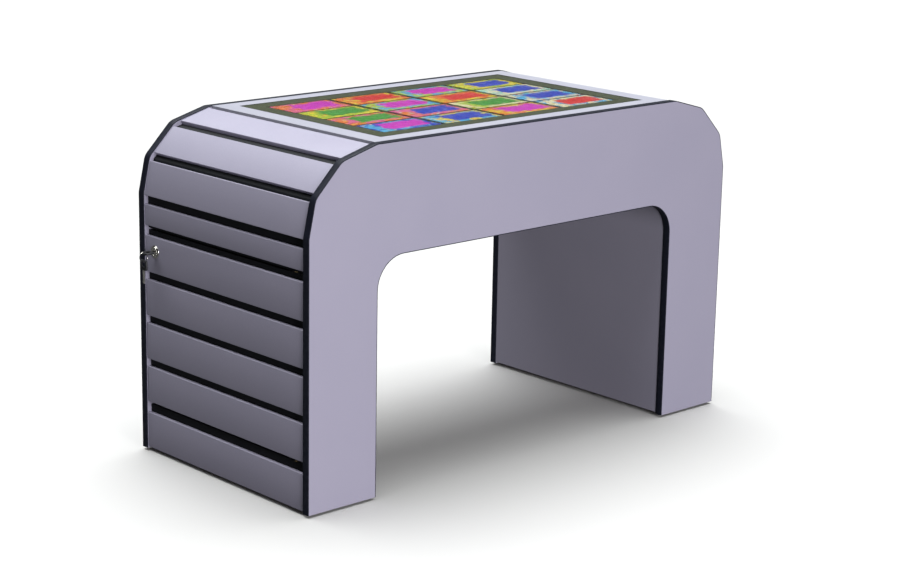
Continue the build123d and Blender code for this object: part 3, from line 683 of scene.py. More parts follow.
# ---- geometry trees --------------------------------------------------------------------------------
class Grower:
    """Geometry Nodes trees of the table, each built once, and the way to run them."""

    def __init__(self) -> None:
        """Build the trees."""
        self.sweep = self.build_sweep()
        self.place = self.build_place()
        self.pierce = self.build_pierce()
        self.coil = self.build_coil()
        self.tiles = self.build_tiles()

    @staticmethod
    def close(nodes: Nodes, end: bpy.types.Node, geometry: Feed, material: Feed) -> None:
        """End a tree with realized instances and a material.

        Args:
            nodes: The tree's nodes.
            end: Its output node.
            geometry: What was made.
            material: Its material.
        """
        real = nodes.add("GeometryNodeRealizeInstances", {0: geometry})
        nodes.feed(
            end.inputs[0], nodes.add("GeometryNodeSetMaterial", {"Geometry": real, "Material": material})
        )

    def build_sweep(self) -> bpy.types.NodeTree:
        """Sweep of a profile along a polyline whose corners are rounded.

        Returns:
            The tree.
        """
        ins = [Socket("Path", GEOMETRY), Socket("Profile", OBJECT), Socket("Corner Steps", WHOLE, 12),
               Socket("Material", MATERIAL)]
        nodes, given, end = open_group("Sweep", "GeometryNodeTree", ins, [Socket("Mesh", GEOMETRY)])
        line = nodes.add("GeometryNodeMeshToCurve", {0: given["Path"]})
        bend = nodes.add("GeometryNodeInputNamedAttribute", {"Name": "bend"}, data_type="FLOAT")
        rounded = nodes.add("GeometryNodeFilletCurve", {
            "Curve": line, "Radius": bend.outputs[0], "Count": given["Corner Steps"], "Limit Radius": True,
        }, mode="POLY")
        shape = nodes.add("GeometryNodeObjectInfo", {0: given["Profile"]}).outputs["Geometry"]
        skin = nodes.add(
            "GeometryNodeCurveToMesh", {"Curve": rounded, "Profile Curve": shape, "Fill Caps": True}
        )
        self.close(nodes, end, skin, given["Material"])
        return nodes.tree

    def build_place(self) -> bpy.types.NodeTree:
        """Copies of a thing at points, each turned to face its point's way.

        Returns:
            The tree.
        """
        ins = [
            Socket("Points", GEOMETRY), Socket("Thing", OBJECT), Socket("Turn", value=0.0),
            Socket("Seed", WHOLE, 7), Socket("Material", MATERIAL),
        ]
        nodes, given, end = open_group("Place", "GeometryNodeTree", ins, [Socket("Mesh", GEOMETRY)])
        way = nodes.add("GeometryNodeInputNamedAttribute", {"Name": "way"}, data_type="FLOAT_VECTOR")
        facing = nodes.add("FunctionNodeAlignRotationToVector", {"Vector": way.outputs[0]}, axis="Z")
        turn = nodes.add("FunctionNodeRandomValue", {
            2: 0.0, 3: given["Turn"], "Seed": given["Seed"],
        }, data_type="FLOAT")
        spin = nodes.add("FunctionNodeAxisAngleToRotation", {0: UP, 1: turn.outputs[1]})
        both = nodes.add("FunctionNodeRotateRotation", {0: facing, 1: spin}, rotation_space="LOCAL")
        thing = nodes.add("GeometryNodeObjectInfo", {0: given["Thing"]}).outputs["Geometry"]
        copies = nodes.add("GeometryNodeInstanceOnPoints", {
            "Points": given["Points"], "Instance": thing, "Rotation": both,
        })
        self.close(nodes, end, copies, given["Material"])
        return nodes.tree

    def build_pierce(self) -> bpy.types.NodeTree:
        """A body with copies of a cutter taken out of it at points.

        Returns:
            The tree.
        """
        ins = [
            Socket("Body", GEOMETRY), Socket("Places", OBJECT), Socket("Cutter", OBJECT),
            Socket("Material", MATERIAL),
        ]
        nodes, given, end = open_group("Pierce", "GeometryNodeTree", ins, [Socket("Mesh", GEOMETRY)])
        places = nodes.add("GeometryNodeObjectInfo", {0: given["Places"]}).outputs["Geometry"]
        cutter = nodes.add("GeometryNodeObjectInfo", {0: given["Cutter"]}).outputs["Geometry"]
        copies = nodes.add("GeometryNodeInstanceOnPoints", {"Points": places, "Instance": cutter})
        solid = nodes.add("GeometryNodeRealizeInstances", {0: copies})
        cut = nodes.add(
            "GeometryNodeMeshBoolean", {0: given["Body"], 1: solid}, operation="DIFFERENCE", solver="EXACT"
        )
        self.close(nodes, end, cut, given["Material"])
        return nodes.tree

    def build_coil(self) -> bpy.types.NodeTree:
        """Round wire wound into a coil along Z.

        Returns:
            The tree.
        """
        ins = [
            Socket("Geometry", GEOMETRY), Socket("Radius"), Socket("Height"), Socket("Turns"),
            Socket("Wire"), Socket("Steps", WHOLE, 40), Socket("Material", MATERIAL),
        ]
        nodes, given, end = open_group("Coil", "GeometryNodeTree", ins, [Socket("Mesh", GEOMETRY)])
        spiral = nodes.add("GeometryNodeCurveSpiral", {
            "Resolution": given["Steps"], "Rotations": given["Turns"],
            "Start Radius": given["Radius"], "End Radius": given["Radius"],
            "Height": given["Height"],
        })
        wire = nodes.add("GeometryNodeCurvePrimitiveCircle", {"Resolution": 10, "Radius": given["Wire"]})
        skin = nodes.add(
            "GeometryNodeCurveToMesh", {"Curve": spiral, "Profile Curve": wire, "Fill Caps": True}
        )
        self.close(nodes, end, skin, given["Material"])
        return nodes.tree

    def build_tiles(self) -> bpy.types.NodeTree:
        """Tiles with gaps, numbered up each column from the front left, each with its own 0 to 1 place.

        Returns:
            The tree.
        """
        ins = [
            Socket("Geometry", GEOMETRY), Socket("Length"), Socket("Width"), Socket("Columns", WHOLE, 4),
            Socket("Rows", WHOLE, 4), Socket("Column Gap"), Socket("Row Gap"), Socket("Thickness"),
            Socket("Material", MATERIAL),
        ]
        nodes, given, end = open_group("Tiles", "GeometryNodeTree", ins, [Socket("Mesh", GEOMETRY)])
        pitch = [nodes.maths("DIVIDE", given["Length"], given["Columns"]),
                 nodes.maths("DIVIDE", given["Width"], given["Rows"])]
        size = [nodes.maths("SUBTRACT", pitch[0], given["Column Gap"]),
                nodes.maths("SUBTRACT", pitch[1], given["Row Gap"])]
        tile = nodes.add("GeometryNodeMeshCube", {
            "Size": nodes.add("ShaderNodeCombineXYZ", {0: size[0], 1: size[1], 2: given["Thickness"]}),
        })
        spot = nodes.add("GeometryNodeInputPosition")
        share = nodes.add("ShaderNodeVectorMath", {
            0: spot, 1: nodes.add("ShaderNodeCombineXYZ", {0: size[0], 1: size[1], 2: 1.0}),
        }, operation="DIVIDE")
        place = nodes.add("ShaderNodeVectorMath", {0: share, 1: (0.5, 0.5, 0.0)}, operation="ADD")
        placed = nodes.add("GeometryNodeStoreNamedAttribute", {
            "Geometry": tile, "Name": "tile_place", "Value": place,
        }, data_type="FLOAT_VECTOR", domain="POINT")
        grid = nodes.add("GeometryNodeMeshGrid", {
            "Size X": nodes.maths("SUBTRACT", given["Length"], pitch[0]),
            "Size Y": nodes.maths("SUBTRACT", given["Width"], pitch[1]),
            "Vertices X": given["Columns"], "Vertices Y": given["Rows"],
        })
        copies = nodes.add("GeometryNodeInstanceOnPoints", {"Points": grid, "Instance": placed})
        numbered = nodes.add("GeometryNodeStoreNamedAttribute", {
            "Geometry": copies, "Name": "tile_number", "Value": nodes.add("GeometryNodeInputIndex"),
        }, data_type="FLOAT", domain="INSTANCE")
        self.close(nodes, end, numbered, given["Material"])
        return nodes.tree

    @staticmethod
    def run(
        tree: bpy.types.NodeTree, sizes: dict[str, object], base: Optional[bpy.types.Mesh] = None
    ) -> bpy.types.Mesh:
        """Run a tree.

        Args:
            tree: The tree.
            sizes: Its inputs, by name.
            base: The mesh that it starts from.

        Returns:
            The plain mesh that it makes.
        """
        host = bpy.data.objects.new("host", base or bpy.data.meshes.new("empty"))
        bpy.context.scene.collection.objects.link(host)
        modifier = host.modifiers.new("Grow", "NODES")
        modifier.node_group = tree
        for item in tree.interface.items_tree:
            if item.in_out == "INPUT" and item.name in sizes:
                modifier[item.identifier] = sizes[item.name]
        graph = bpy.context.evaluated_depsgraph_get()
        made = bpy.data.meshes.new_from_object(
            host.evaluated_get(graph), preserve_all_data_layers=True, depsgraph=graph
        )
        host.modifiers.remove(modifier)
        bpy.data.objects.remove(host)
        return made


# ---- mesh work -------------------------------------------------------------------------------------
def tidy(mesh: bpy.types.Mesh, angle: float = SHARP) -> bpy.types.Mesh:
    """Merge doubles, turn faces outwards and shade smooth up to an angle.

    Args:
        mesh: The mesh, changed in place.
        angle: Edges sharper than this stay sharp.

    Returns:
        The same mesh.
    """
    work = bmesh.new()
    work.from_mesh(mesh)
    bmesh.ops.remove_doubles(work, verts=work.verts, dist=0.002 * MM)
    bmesh.ops.recalc_face_normals(work, faces=work.faces)
    work.to_mesh(mesh)
    work.free()
    mesh.shade_smooth()
    mesh.set_sharp_from_angle(angle=angle)
    return mesh


def from_rings(rings: Sequence[Sequence[Point]], closed: bool = True) -> bpy.types.Mesh:
    """Skin over rings of equal count, capped at both ends.

    Args:
        rings: The rings' points.
        closed: Whether the end rings get caps.

    Returns:
        The mesh.
    """
    count = len(rings[0])
    points = [tuple(point) for ring in rings for point in ring]
    faces: list[tuple[int, ...]] = []
    for level in range(len(rings) - 1):
        low = level * count
        for k in range(count):
            after = (k + 1) % count
            faces.append((low + k, low + after, low + count + after, low + count + k))
    if closed:
        faces.append(tuple(range(count))[::-1])
        faces.append(tuple(range(len(points) - count, len(points))))
    mesh = bpy.data.meshes.new("rings")
    mesh.from_pydata(points, [], faces)
    return mesh


def turned(profile: Sequence[tuple[float, float]], steps: int = 48) -> bpy.types.Mesh:
    """Body turned round Z.

    Args:
        profile: (radius, height) points from one end to the other.
        steps: Sides of the turning.

    Returns:
        The mesh.
    """
    angles = [2 * math.pi * k / steps for k in range(steps)]
    return tidy(from_rings([[(r * math.cos(a), r * math.sin(a), z) for a in angles] for r, z in profile]))


def drum(radius: float, low: float, high: float, steps: int = 48) -> bpy.types.Mesh:
    """Plain cylinder on Z, from one height to another."""
    return turned([(0.0, low), (radius, low), (radius, high), (0.0, high)], steps)


def standing(place: Point) -> Matrix:
    """Turn that stands a flat outline up in the YZ plane at a place, facing +X."""
    return Matrix(((0, 0, 1, place[0]), (1, 0, 0, place[1]), (0, 1, 0, place[2]), (0, 0, 0, 1)))


def rounded_box(size: Point, radius: float, steps: int = 3, only: Optional[int] = None) -> bpy.types.Mesh:
    """Box centred on the origin with rounded edges.

    Args:
        size: Its three sides.
        radius: Radius of its edges.
        steps: Segments of the rounding.
        only: Axis whose edges alone are rounded, or None for all.

    Returns:
        The mesh.
    """
    work = bmesh.new()
    bmesh.ops.create_cube(work, size=1.0, matrix=Matrix.Diagonal((*size, 1.0)))
    edges = [
        edge for edge in work.edges
        if only is None or abs((edge.verts[0].co - edge.verts[1].co).normalized()[only]) > 0.9
    ]
    bmesh.ops.bevel(work, geom=edges, offset=radius, segments=steps, profile=0.5, affect="EDGES")
    mesh = bpy.data.meshes.new("box")
    work.to_mesh(mesh)
    work.free()
    return tidy(mesh)


def plate(outline: Sequence[tuple[float, float]], thickness: float, ease: float = 0.0) -> bpy.types.Mesh:
    """Flat plate in XY, from Z 0 to its thickness, with its face edges eased.

    Args:
        outline: Corner points in order.
        thickness: Thickness along Z.
        ease: Width of the bevel on its face edges.

    Returns:
        The mesh.
    """
    work = bmesh.new()
    face = work.faces.new([work.verts.new((x, y, 0.0)) for x, y in outline])
    grown = bmesh.ops.extrude_face_region(work, geom=[face])
    tops = [item for item in grown["geom"] if isinstance(item, bmesh.types.BMVert)]
    bmesh.ops.translate(work, verts=tops, vec=(0.0, 0.0, thickness))
    if ease:
        rims = [edge for edge in work.edges if abs(edge.verts[0].co.z - edge.verts[1].co.z) < thickness / 2]
        bmesh.ops.bevel(work, geom=rims, offset=ease, segments=2, profile=0.5, affect="EDGES")
    mesh = bpy.data.meshes.new("plate")
    work.to_mesh(mesh)
    work.free()
    return tidy(mesh)


def combined(*meshes: bpy.types.Mesh) -> bpy.types.Mesh:
    """Join meshes.

    Args:
        *meshes: The meshes.

    Returns:
        A new mesh of them all.
    """
    work = bmesh.new()
    for mesh in meshes:
        work.from_mesh(mesh)
    made = bpy.data.meshes.new("combined")
    work.to_mesh(made)
    work.free()
    made.shade_smooth()
    made.set_sharp_from_angle(angle=SHARP)
    return made


def moved(
    mesh: bpy.types.Mesh, place: Point, way: Optional[Point] = None, spin: float = 0.0
) -> bpy.types.Mesh:
    """Turn a mesh so that its Z faces a direction, and move it.

    Args:
        mesh: The mesh, changed in place.
        place: Where its origin goes.
        way: Where its Z axis points, or None for +Z.
        spin: Turn round its own Z first.

    Returns:
        The same mesh.
    """
    facing = Vector(way or UP).to_track_quat("Z", "Y").to_matrix().to_4x4()
    mesh.transform(Matrix.Translation(place) @ facing @ Matrix.Rotation(spin, 4, "Z"))
    return mesh


def subtracted(mesh: bpy.types.Mesh, *cutters: bpy.types.Mesh) -> bpy.types.Mesh:
    """Take cutters out of a closed mesh.

    Args:
        mesh: The mesh.
        *cutters: Closed meshes.

    Returns:
        A new mesh.
    """
    body = scrap(mesh)
    for cutter in cutters:
        modifier = body.modifiers.new("Cut", "BOOLEAN")
        modifier.object = scrap(cutter)
        modifier.operation = "DIFFERENCE"
        modifier.solver = "EXACT"
    graph = bpy.context.evaluated_depsgraph_get()
    made = bpy.data.meshes.new_from_object(body.evaluated_get(graph), depsgraph=graph)
    for modifier in list(body.modifiers):
        bpy.data.objects.remove(modifier.object)
    bpy.data.objects.remove(body)
    return tidy(made)


def scrap(data: Union[bpy.types.Mesh, bpy.types.Curve]) -> bpy.types.Object:
    """Link a helper object, which its maker removes.

    Args:
        data: Its mesh or curve.

    Returns:
        The object.
    """
    made = bpy.data.objects.new("scrap", data)
    bpy.context.scene.collection.objects.link(made)
    return made


def polyline(points: Sequence[Point], bends: Sequence[float]) -> bpy.types.Mesh:
    """Open line of edges for the sweep tree.

    Args:
        points: Its points.
        bends: Rounding radius at each point.

    Returns:
        The mesh.
    """
    mesh = bpy.data.meshes.new("path")
    mesh.from_pydata([tuple(point) for point in points], [(k, k + 1) for k in range(len(points) - 1)], [])
    mesh.attributes.new("bend", "FLOAT", "POINT").data.foreach_set("value", list(bends))
    return mesh


def points_facing(places: Sequence[Point], way: Point) -> bpy.types.Mesh:
    """Points for the place tree that all face one way.

    Args:
        places: The points.
        way: The direction that they face.

    Returns:
        The mesh.
    """
    mesh = bpy.data.meshes.new("points")
    mesh.from_pydata([tuple(place) for place in places], [], [])
    mesh.attributes.new("way", "FLOAT_VECTOR", "POINT").data.foreach_set("vector", list(way) * len(places))
    return mesh


def section(points: Sequence[tuple[float, float]]) -> bpy.types.Object:
    """Closed profile for the sweep tree, as a helper object.

    Args:
        points: The profile's points.

    Returns:
        The object.
    """
    curve = bpy.data.curves.new("section", "CURVE")
    curve.dimensions = "3D"
    spline = curve.splines.new("POLY")
    spline.points.add(len(points) - 1)
    for place, (x, y) in zip(spline.points, points):
        place.co = (x, y, 0.0, 1.0)
    spline.use_cyclic_u = True
    return scrap(curve)


def rounded_rectangle(
    width: float, height: float, radius: float, steps: int = 4
) -> list[tuple[float, float]]:
    """Points of a rounded rectangle centred on the origin.

    Args:
        width: Its size along X.
        height: Its size along Y.
        radius: Radius of its corners.
        steps: Segments of each corner.

    Returns:
        The points, counter-clockwise.
    """
    points = []
    for quarter in range(4):
        cx = (width / 2 - radius) * (1 if quarter in (0, 3) else -1)
        cy = (height / 2 - radius) * (1 if quarter in (0, 1) else -1)
        for k in range(steps + 1):
            angle = math.pi / 2 * (quarter + k / steps)
            points.append((cx + radius * math.cos(angle), cy + radius * math.sin(angle)))
    return points


@dataclass(frozen=True)
class Span:
    """A CAD node's box at rest."""

    low: Vector
    high: Vector

    @classmethod
    def of(cls, node: str) -> "Span":
        """The box of a node."""
        return cls(*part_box(node))

    @property
    def centre(self) -> Vector:
        """Middle of the box."""
        return (self.low + self.high) / 2

    @property
    def size(self) -> Vector:
        """Sides of the box."""
        return self.high - self.low


class Bench:
    """Where finished pieces are hung on the frame's bodies."""

    def __init__(self, nodes: dict[str, bpy.types.Object], grower: Grower) -> None:
        """Remember the frame.

        Args:
            nodes: The CAD nodes.
            grower: The geometry trees.
        """
        self.nodes = nodes
        self.grower = grower

    def put(
        self, name: str, mesh: bpy.types.Mesh, body: Body, finish: Finish, replaces: Sequence[str] = ()
    ) -> bpy.types.Object:
        """Make a piece of a finished mesh.

        Args:
            name: The piece's name.
            mesh: Its mesh, in the frame.
            body: The body that it rides on.
            finish: Its finish.
            replaces: CAD nodes that it stands for.

        Returns:
            The piece.
        """
        mesh.name = name
        mesh.materials.clear()
        mesh.materials.append(finish.material())
        piece = bpy.data.objects.new(name, mesh)
        bpy.context.scene.collection.objects.link(piece)
        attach(piece, body.value)
        if replaces:
            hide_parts(*replaces)
        LOG.info("%s on %s, %d faces", name, body.value, len(mesh.polygons))
        return piece

    def dress(self, finish: Finish, *names: str) -> None:
        """Give CAD nodes a finish.

        Args:
            finish: The finish.
            *names: The nodes.
        """
        for name in names:
            mesh = self.nodes[name].data
            mesh.materials.clear()
            mesh.materials.append(finish.material())
            LOG.info("%s keeps its shape", name)

    def swept(
        self, path: bpy.types.Mesh, outline: Sequence[tuple[float, float]], steps: int = 12
    ) -> bpy.types.Mesh:
        """Sweep a profile along a path.

        Args:
            path: The polyline.
            outline: The profile's points.
            steps: Segments of each rounded corner.

        Returns:
            The mesh.
        """
        profile = section(outline)
        mesh = self.grower.run(self.grower.sweep, {"Profile": profile, "Corner Steps": steps}, path)
        bpy.data.objects.remove(profile)
        return tidy(mesh)

    def copies(
        self, thing: bpy.types.Mesh, places: Sequence[Point], way: Point, turn: float = 0.0
    ) -> bpy.types.Mesh:
        """Copies of a thing at places that face one way.

        Args:
            thing: What is copied, facing +Z.
            places: Where they go.
            way: The way that they face.
            turn: Greatest random turn round their own axis.

        Returns:
            The mesh.
        """
        helper = scrap(thing)
        mesh = self.grower.run(self.grower.place, {"Thing": helper, "Turn": turn}, points_facing(places, way))
        bpy.data.objects.remove(helper)
        return tidy(mesh)

    def pierced(
        self, body: bpy.types.Mesh, cutter: bpy.types.Mesh, places: Sequence[Point]
    ) -> bpy.types.Mesh:
        """A closed mesh with copies of a cutter taken out.

        Args:
            body: The mesh.
            cutter: The cutter, centred on the origin.
            places: Where it cuts.

        Returns:
            The mesh.
        """
        helpers = [scrap(points_facing(places, UP)), scrap(cutter)]
        mesh = self.grower.run(self.grower.pierce, {"Places": helpers[0], "Cutter": helpers[1]}, body)
        for helper in helpers:
            bpy.data.objects.remove(helper)
        return tidy(mesh)


# ---- the table's finishes --------------------------------------------------------------------------
LILAC = Laminate(
    "Lilac laminate", "lilac_board", (0.262, 0.246, 0.322), fleck=(0.34, 0.32, 0.40),
    cloud=(0.235, 0.225, 0.30),
)
# The lilac laminate made paler and less purple for the top: painted light of the overhead lamp.
TOP_LILAC_PAINTED_LIGHT = Laminate(
    "Pale top laminate", "pale_top", (0.275, 0.272, 0.325), fleck=(0.35, 0.345, 0.40),
    cloud=(0.25, 0.25, 0.31),
)
# The lilac laminate made slightly darker for the lining inside the arch: painted shade.
LINING_PAINTED_SHADE = Laminate(
    "Lining laminate", "liner", (0.25, 0.236, 0.30), fleck=(0.32, 0.30, 0.37), cloud=(0.22, 0.212, 0.275)
)
BLACK_BOARD = Laminate(
    "Black melamine", "black_board", (0.009, 0.01, 0.012), fleck=(0.018, 0.019, 0.022),
    cloud=(0.006, 0.006, 0.008),
    low=0.5, high=0.62, shine=0.1,
)
BANDING = Moulded(
    "Dark edge banding", "dark_banding", (0.007, 0.008, 0.015), rubbed=(0.018, 0.02, 0.03), low=0.42,
    high=0.55, shine=0.1,
)
GLASS = Pane("Toughened glass", "clear_glass", (0.93, 0.97, 0.95))
SEAL = Moulded(
    "Black silicone", "black_seal", (0.005, 0.005, 0.006), rubbed=(0.01, 0.01, 0.012), low=0.55, high=0.7,
    shine=0.08,
)
# The printed border glows at strength 3: painted light in place of the lamp light that the glass stops.
PAINTED_GLOW_MASK = Printed("Printed border", "black_mask", (0.046, 0.052, 0.034), pinhole=(0.06, 0.066, 0.046), lit=3.0)
SCREEN_GLASS = Printed("Display face", "screen", (0.004, 0.004, 0.005), pinhole=(0.01, 0.01, 0.012))
BLACKENED = Metal(
    "Blackened steel", "steel", (0.028, 0.028, 0.03), tarnish=(0.012, 0.012, 0.012), low=0.4, high=0.6
)
ZINC = Metal("Zinc plate", "steel", (0.55, 0.56, 0.58), tarnish=(0.36, 0.37, 0.4))
NICKEL = Metal(
    "Bright nickel", "chrome", (0.72, 0.7, 0.67), tarnish=(0.5, 0.46, 0.4), low=0.1, high=0.22, scratch=0.12
)
BRASS = Metal("Turned brass", "brass", (0.72, 0.54, 0.27), tarnish=(0.45, 0.3, 0.13), stretch=(1.0, 1.0, 0.1))
BLACK_PLASTIC = Moulded("Black plastic", "black_plastic", (0.008, 0.008, 0.01), shine=0.35)
FOOT_PLASTIC = Moulded("Glide plastic", "foot_plastic", (0.018, 0.018, 0.018), low=0.5, high=0.7)
CABLE = Moulded("Cable jacket", "cable_jacket", (0.014, 0.014, 0.015), low=0.35, high=0.5)
RED = Moulded(
    "Red rocker", "rocker_red", (0.42, 0.018, 0.012), rubbed=(0.5, 0.1, 0.08), low=0.2, high=0.3, coat=0.4
)
PINE = Timber("Softwood", "raw_wood", (0.62, 0.44, 0.25))
PINE_UPRIGHT = Timber("Upright softwood", "raw_wood", (0.62, 0.44, 0.25), stretch=(1.0, 1.0, 0.06))

PINK = (0.68, 0.03, 0.55)
SCARLET = (0.75, 0.03, 0.03)
LEAF = (0.06, 0.33, 0.04)
ROYAL = (0.03, 0.06, 0.55)
LIME = (0.45, 0.6, 0.04)
APRICOT = (0.85, 0.22, 0.04)
LEMON = (0.8, 0.65, 0.05)
SKY = (0.1, 0.45, 0.75)
MINT = (0.4, 0.75, 0.6)
CREAM = (0.85, 0.75, 0.5)
ROSE = (0.8, 0.15, 0.35)

TILE_ROWS = (
    (TilePalette(ROSE, APRICOT, CREAM, PINK), TilePalette(APRICOT, LEMON, ROSE, SCARLET),
     TilePalette(SKY, LIME, CREAM, PINK), TilePalette(LIME, LEMON, SKY, ROYAL)),
    (TilePalette(LIME, LEMON, APRICOT, LEAF), TilePalette(LIME, SKY, ROSE, PINK),
     TilePalette(LEMON, APRICOT, LIME, SCARLET), TilePalette(MINT, CREAM, ROSE, ROYAL)),
    (TilePalette(APRICOT, ROSE, LEMON, LEAF), TilePalette(APRICOT, ROSE, MINT, ROYAL),
     TilePalette(CREAM, LIME, SCARLET, LEAF), TilePalette(CREAM, SKY, SCARLET, ROYAL)),
    (TilePalette(SKY, ROYAL, CREAM, PINK), TilePalette(SKY, LEMON, APRICOT, ROYAL),
     TilePalette(APRICOT, LEMON, ROSE, PINK), TilePalette(SKY, CREAM, LEMON, SCARLET)),
)


# ---- sub-assemblies --------------------------------------------------------------------------------
@dataclass
class ArchCarcass:
    """Two arch boards with dark edge banding, and the black boards between them.

    The shoulder is in millimetres, and the other sizes are in metres.
    """

    shoulder: tuple[tuple[float, float], ...] = ((176.0, 0.0), (84.0, 25.0), (17.0, 93.0), (0.0, 171.0))
    shoulder_bend: float = 35 * MM
    opening_bend: float = 70 * MM
    band: float = 2 * MM
    ease: float = 0.7 * MM
    ease_steps: int = 3

    def band_profile(self, width: float, inwards: int) -> list[tuple[float, float]]:
        """Section of a band, with its two exposed corners eased.

        Args:
            width: Width of the band.
            inwards: +1 if the board is on the right of its path, -1 if on the left.

        Returns:
            The points: depth into the board, then place across it.
        """
        half = width / 2
        points = [(self.band, -half), (self.band, half)]
        for sign, turns in ((1, range(self.ease_steps + 1)), (-1, range(self.ease_steps, -1, -1))):
            for k in turns:
                angle = math.pi / 2 * k / self.ease_steps
                depth = self.ease * (1 - math.sin(angle))
                points.append((depth, sign * (half - self.ease + self.ease * math.cos(angle))))
        return [(inwards * depth, across) for depth, across in points]

    def outer_path(self, board: Span, y: float) -> bpy.types.Mesh:
        """Outside of an arch board, foot to foot.

        Args:
            board: The board with its bands.
            y: Middle of its thickness.

        Returns:
            The path.
        """
        corners = [(x * MM, z * MM) for x, z in self.shoulder]
        left = [(board.low.x + x, y, board.high.z - z) for x, z in reversed(corners)]
        right = [(board.high.x - x, y, board.high.z - z) for x, z in corners]
        points = [(board.low.x, y, board.low.z), *left, *right, (board.high.x, y, board.low.z)]
        return polyline(points, [0.0, *[self.shoulder_bend] * (len(points) - 2), 0.0])

    def opening_path(self, opening: Span, low: float, y: float) -> bpy.types.Mesh:
        """Edge of the opening, foot to foot.

        Args:
            opening: Box of the opening.
            low: Height of the feet.
            y: Middle of the board's thickness.

        Returns:
            The path.
        """
        points = [
            (opening.low.x, y, low), (opening.low.x, y, opening.high.z),
            (opening.high.x, y, opening.high.z), (opening.high.x, y, low),
        ]
        return polyline(points, [0.0, self.opening_bend, self.opening_bend, 0.0])

    def build(self, bench: Bench) -> None:
        """Make the bands and dress the boards.

        Args:
            bench: Where pieces go.
        """
        walls = Span.of("left_inner_wall"), Span.of("right_inner_wall")
        recess = 1 * MM
        lintel = Span.of("underside_panel").low.z - recess
        for word in ("front", "rear"):
            board = Span.of(f"{word}_edge_bands")
            opening = Span(
                Vector((walls[0].high.x + recess, board.low.y, board.low.z)),
                Vector((walls[1].low.x - recess, board.high.y, lintel)),
            )
            y = board.centre.y
            width = board.size.y
            outer = bench.swept(self.outer_path(board, y), self.band_profile(width, 1))
            inner = bench.swept(self.opening_path(opening, board.low.z, y), self.band_profile(width, -1), 20)
            bench.put(
                f"{word}_banding", combined(outer, inner), Body.CABINET, BANDING, [f"{word}_edge_bands"]
            )
            bench.dress(LILAC, f"{word}_arch_panel")
        bench.dress(BLACK_BOARD, "left_shoulder_boards", "right_shoulder_boards", "right_end_board",
                    "door_opening_rails", "left_bottom_plate", "right_bottom_plate")


@dataclass
class SlattedEnds:
    """Slats across both ends.

    Slats 1 to 3 lie on the shoulder's facets, and slats 5 to 8 of the left end are the door's.
    """

    shoulder: tuple[tuple[float, float], ...] = ArchCarcass.shoulder
    thickness: float = 9 * MM
    ease: float = 0.9 * MM
    cad_ease: float = 0.8 * MM
    count: int = 9
    door: tuple[int, ...] = (5, 6, 7, 8)
    lock_hole: float = 9.7 * MM
    hole_reach: float = 20 * MM

    def lean(self, number: int, side: Side) -> Vector:
        """Direction up a slat's face, in XZ.

        Args:
            number: The slat's number, from the top.
            side: Its end of the table.

        Returns:
            A unit vector.
        """
        if number > len(self.shoulder) - 1:
            return Vector(UP)
        (x0, z0), (x1, z1) = self.shoulder[number - 1], self.shoulder[number]
        return Vector((-side.value * (x0 - x1), 0.0, z1 - z0)).normalized()

    def slat(self, bench: Bench, node: str, up: Vector) -> bpy.types.Mesh:
        """One slat in its place.

        Args:
            bench: Where pieces go.
            node: Its CAD node.
            up: Direction up its face.

        Returns:
            The mesh.
        """
        span = Span.of(node)
        flat = self.thickness - 2 * self.cad_ease
        height = (span.size.z - flat * abs(up.x) - 2 * self.cad_ease) / up.z + 2 * self.cad_ease
        half = span.size.y / 2
        path = polyline([(0.0, -half, 0.0), (0.0, half, 0.0)], [0.0, 0.0])
        mesh = bench.swept(path, rounded_rectangle(self.thickness, height, self.ease))
        mesh.transform(Matrix.Translation(span.centre) @ Matrix.Rotation(math.atan2(up.x, up.z), 4, "Y"))
        return mesh

    def build(self, bench: Bench) -> None:
        """Make the slats.

        Args:
            bench: Where pieces go.
        """
        for side, word in ((Side.LEFT, "left"), (Side.RIGHT, "right")):
            for number in range(1, self.count + 1):
                hung = side is Side.LEFT and number in self.door
                node = f"door_slat_{number}" if hung else f"{word}_slat_{number}"
                mesh = self.slat(bench, node, self.lean(number, side))
                if hung and number == self.door[0]:
                    barrel = Span.of("lock_barrel")
                    hole = drum(self.lock_hole, -self.hole_reach, self.hole_reach)
                    place = (Span.of(node).centre.x, barrel.centre.y, barrel.centre.z)
                    mesh = subtracted(mesh, moved(hole, place, LEFTWARDS))
                bench.put(f"{node}_board", mesh, Body.DOOR if hung else Body.CABINET, LILAC, [node])


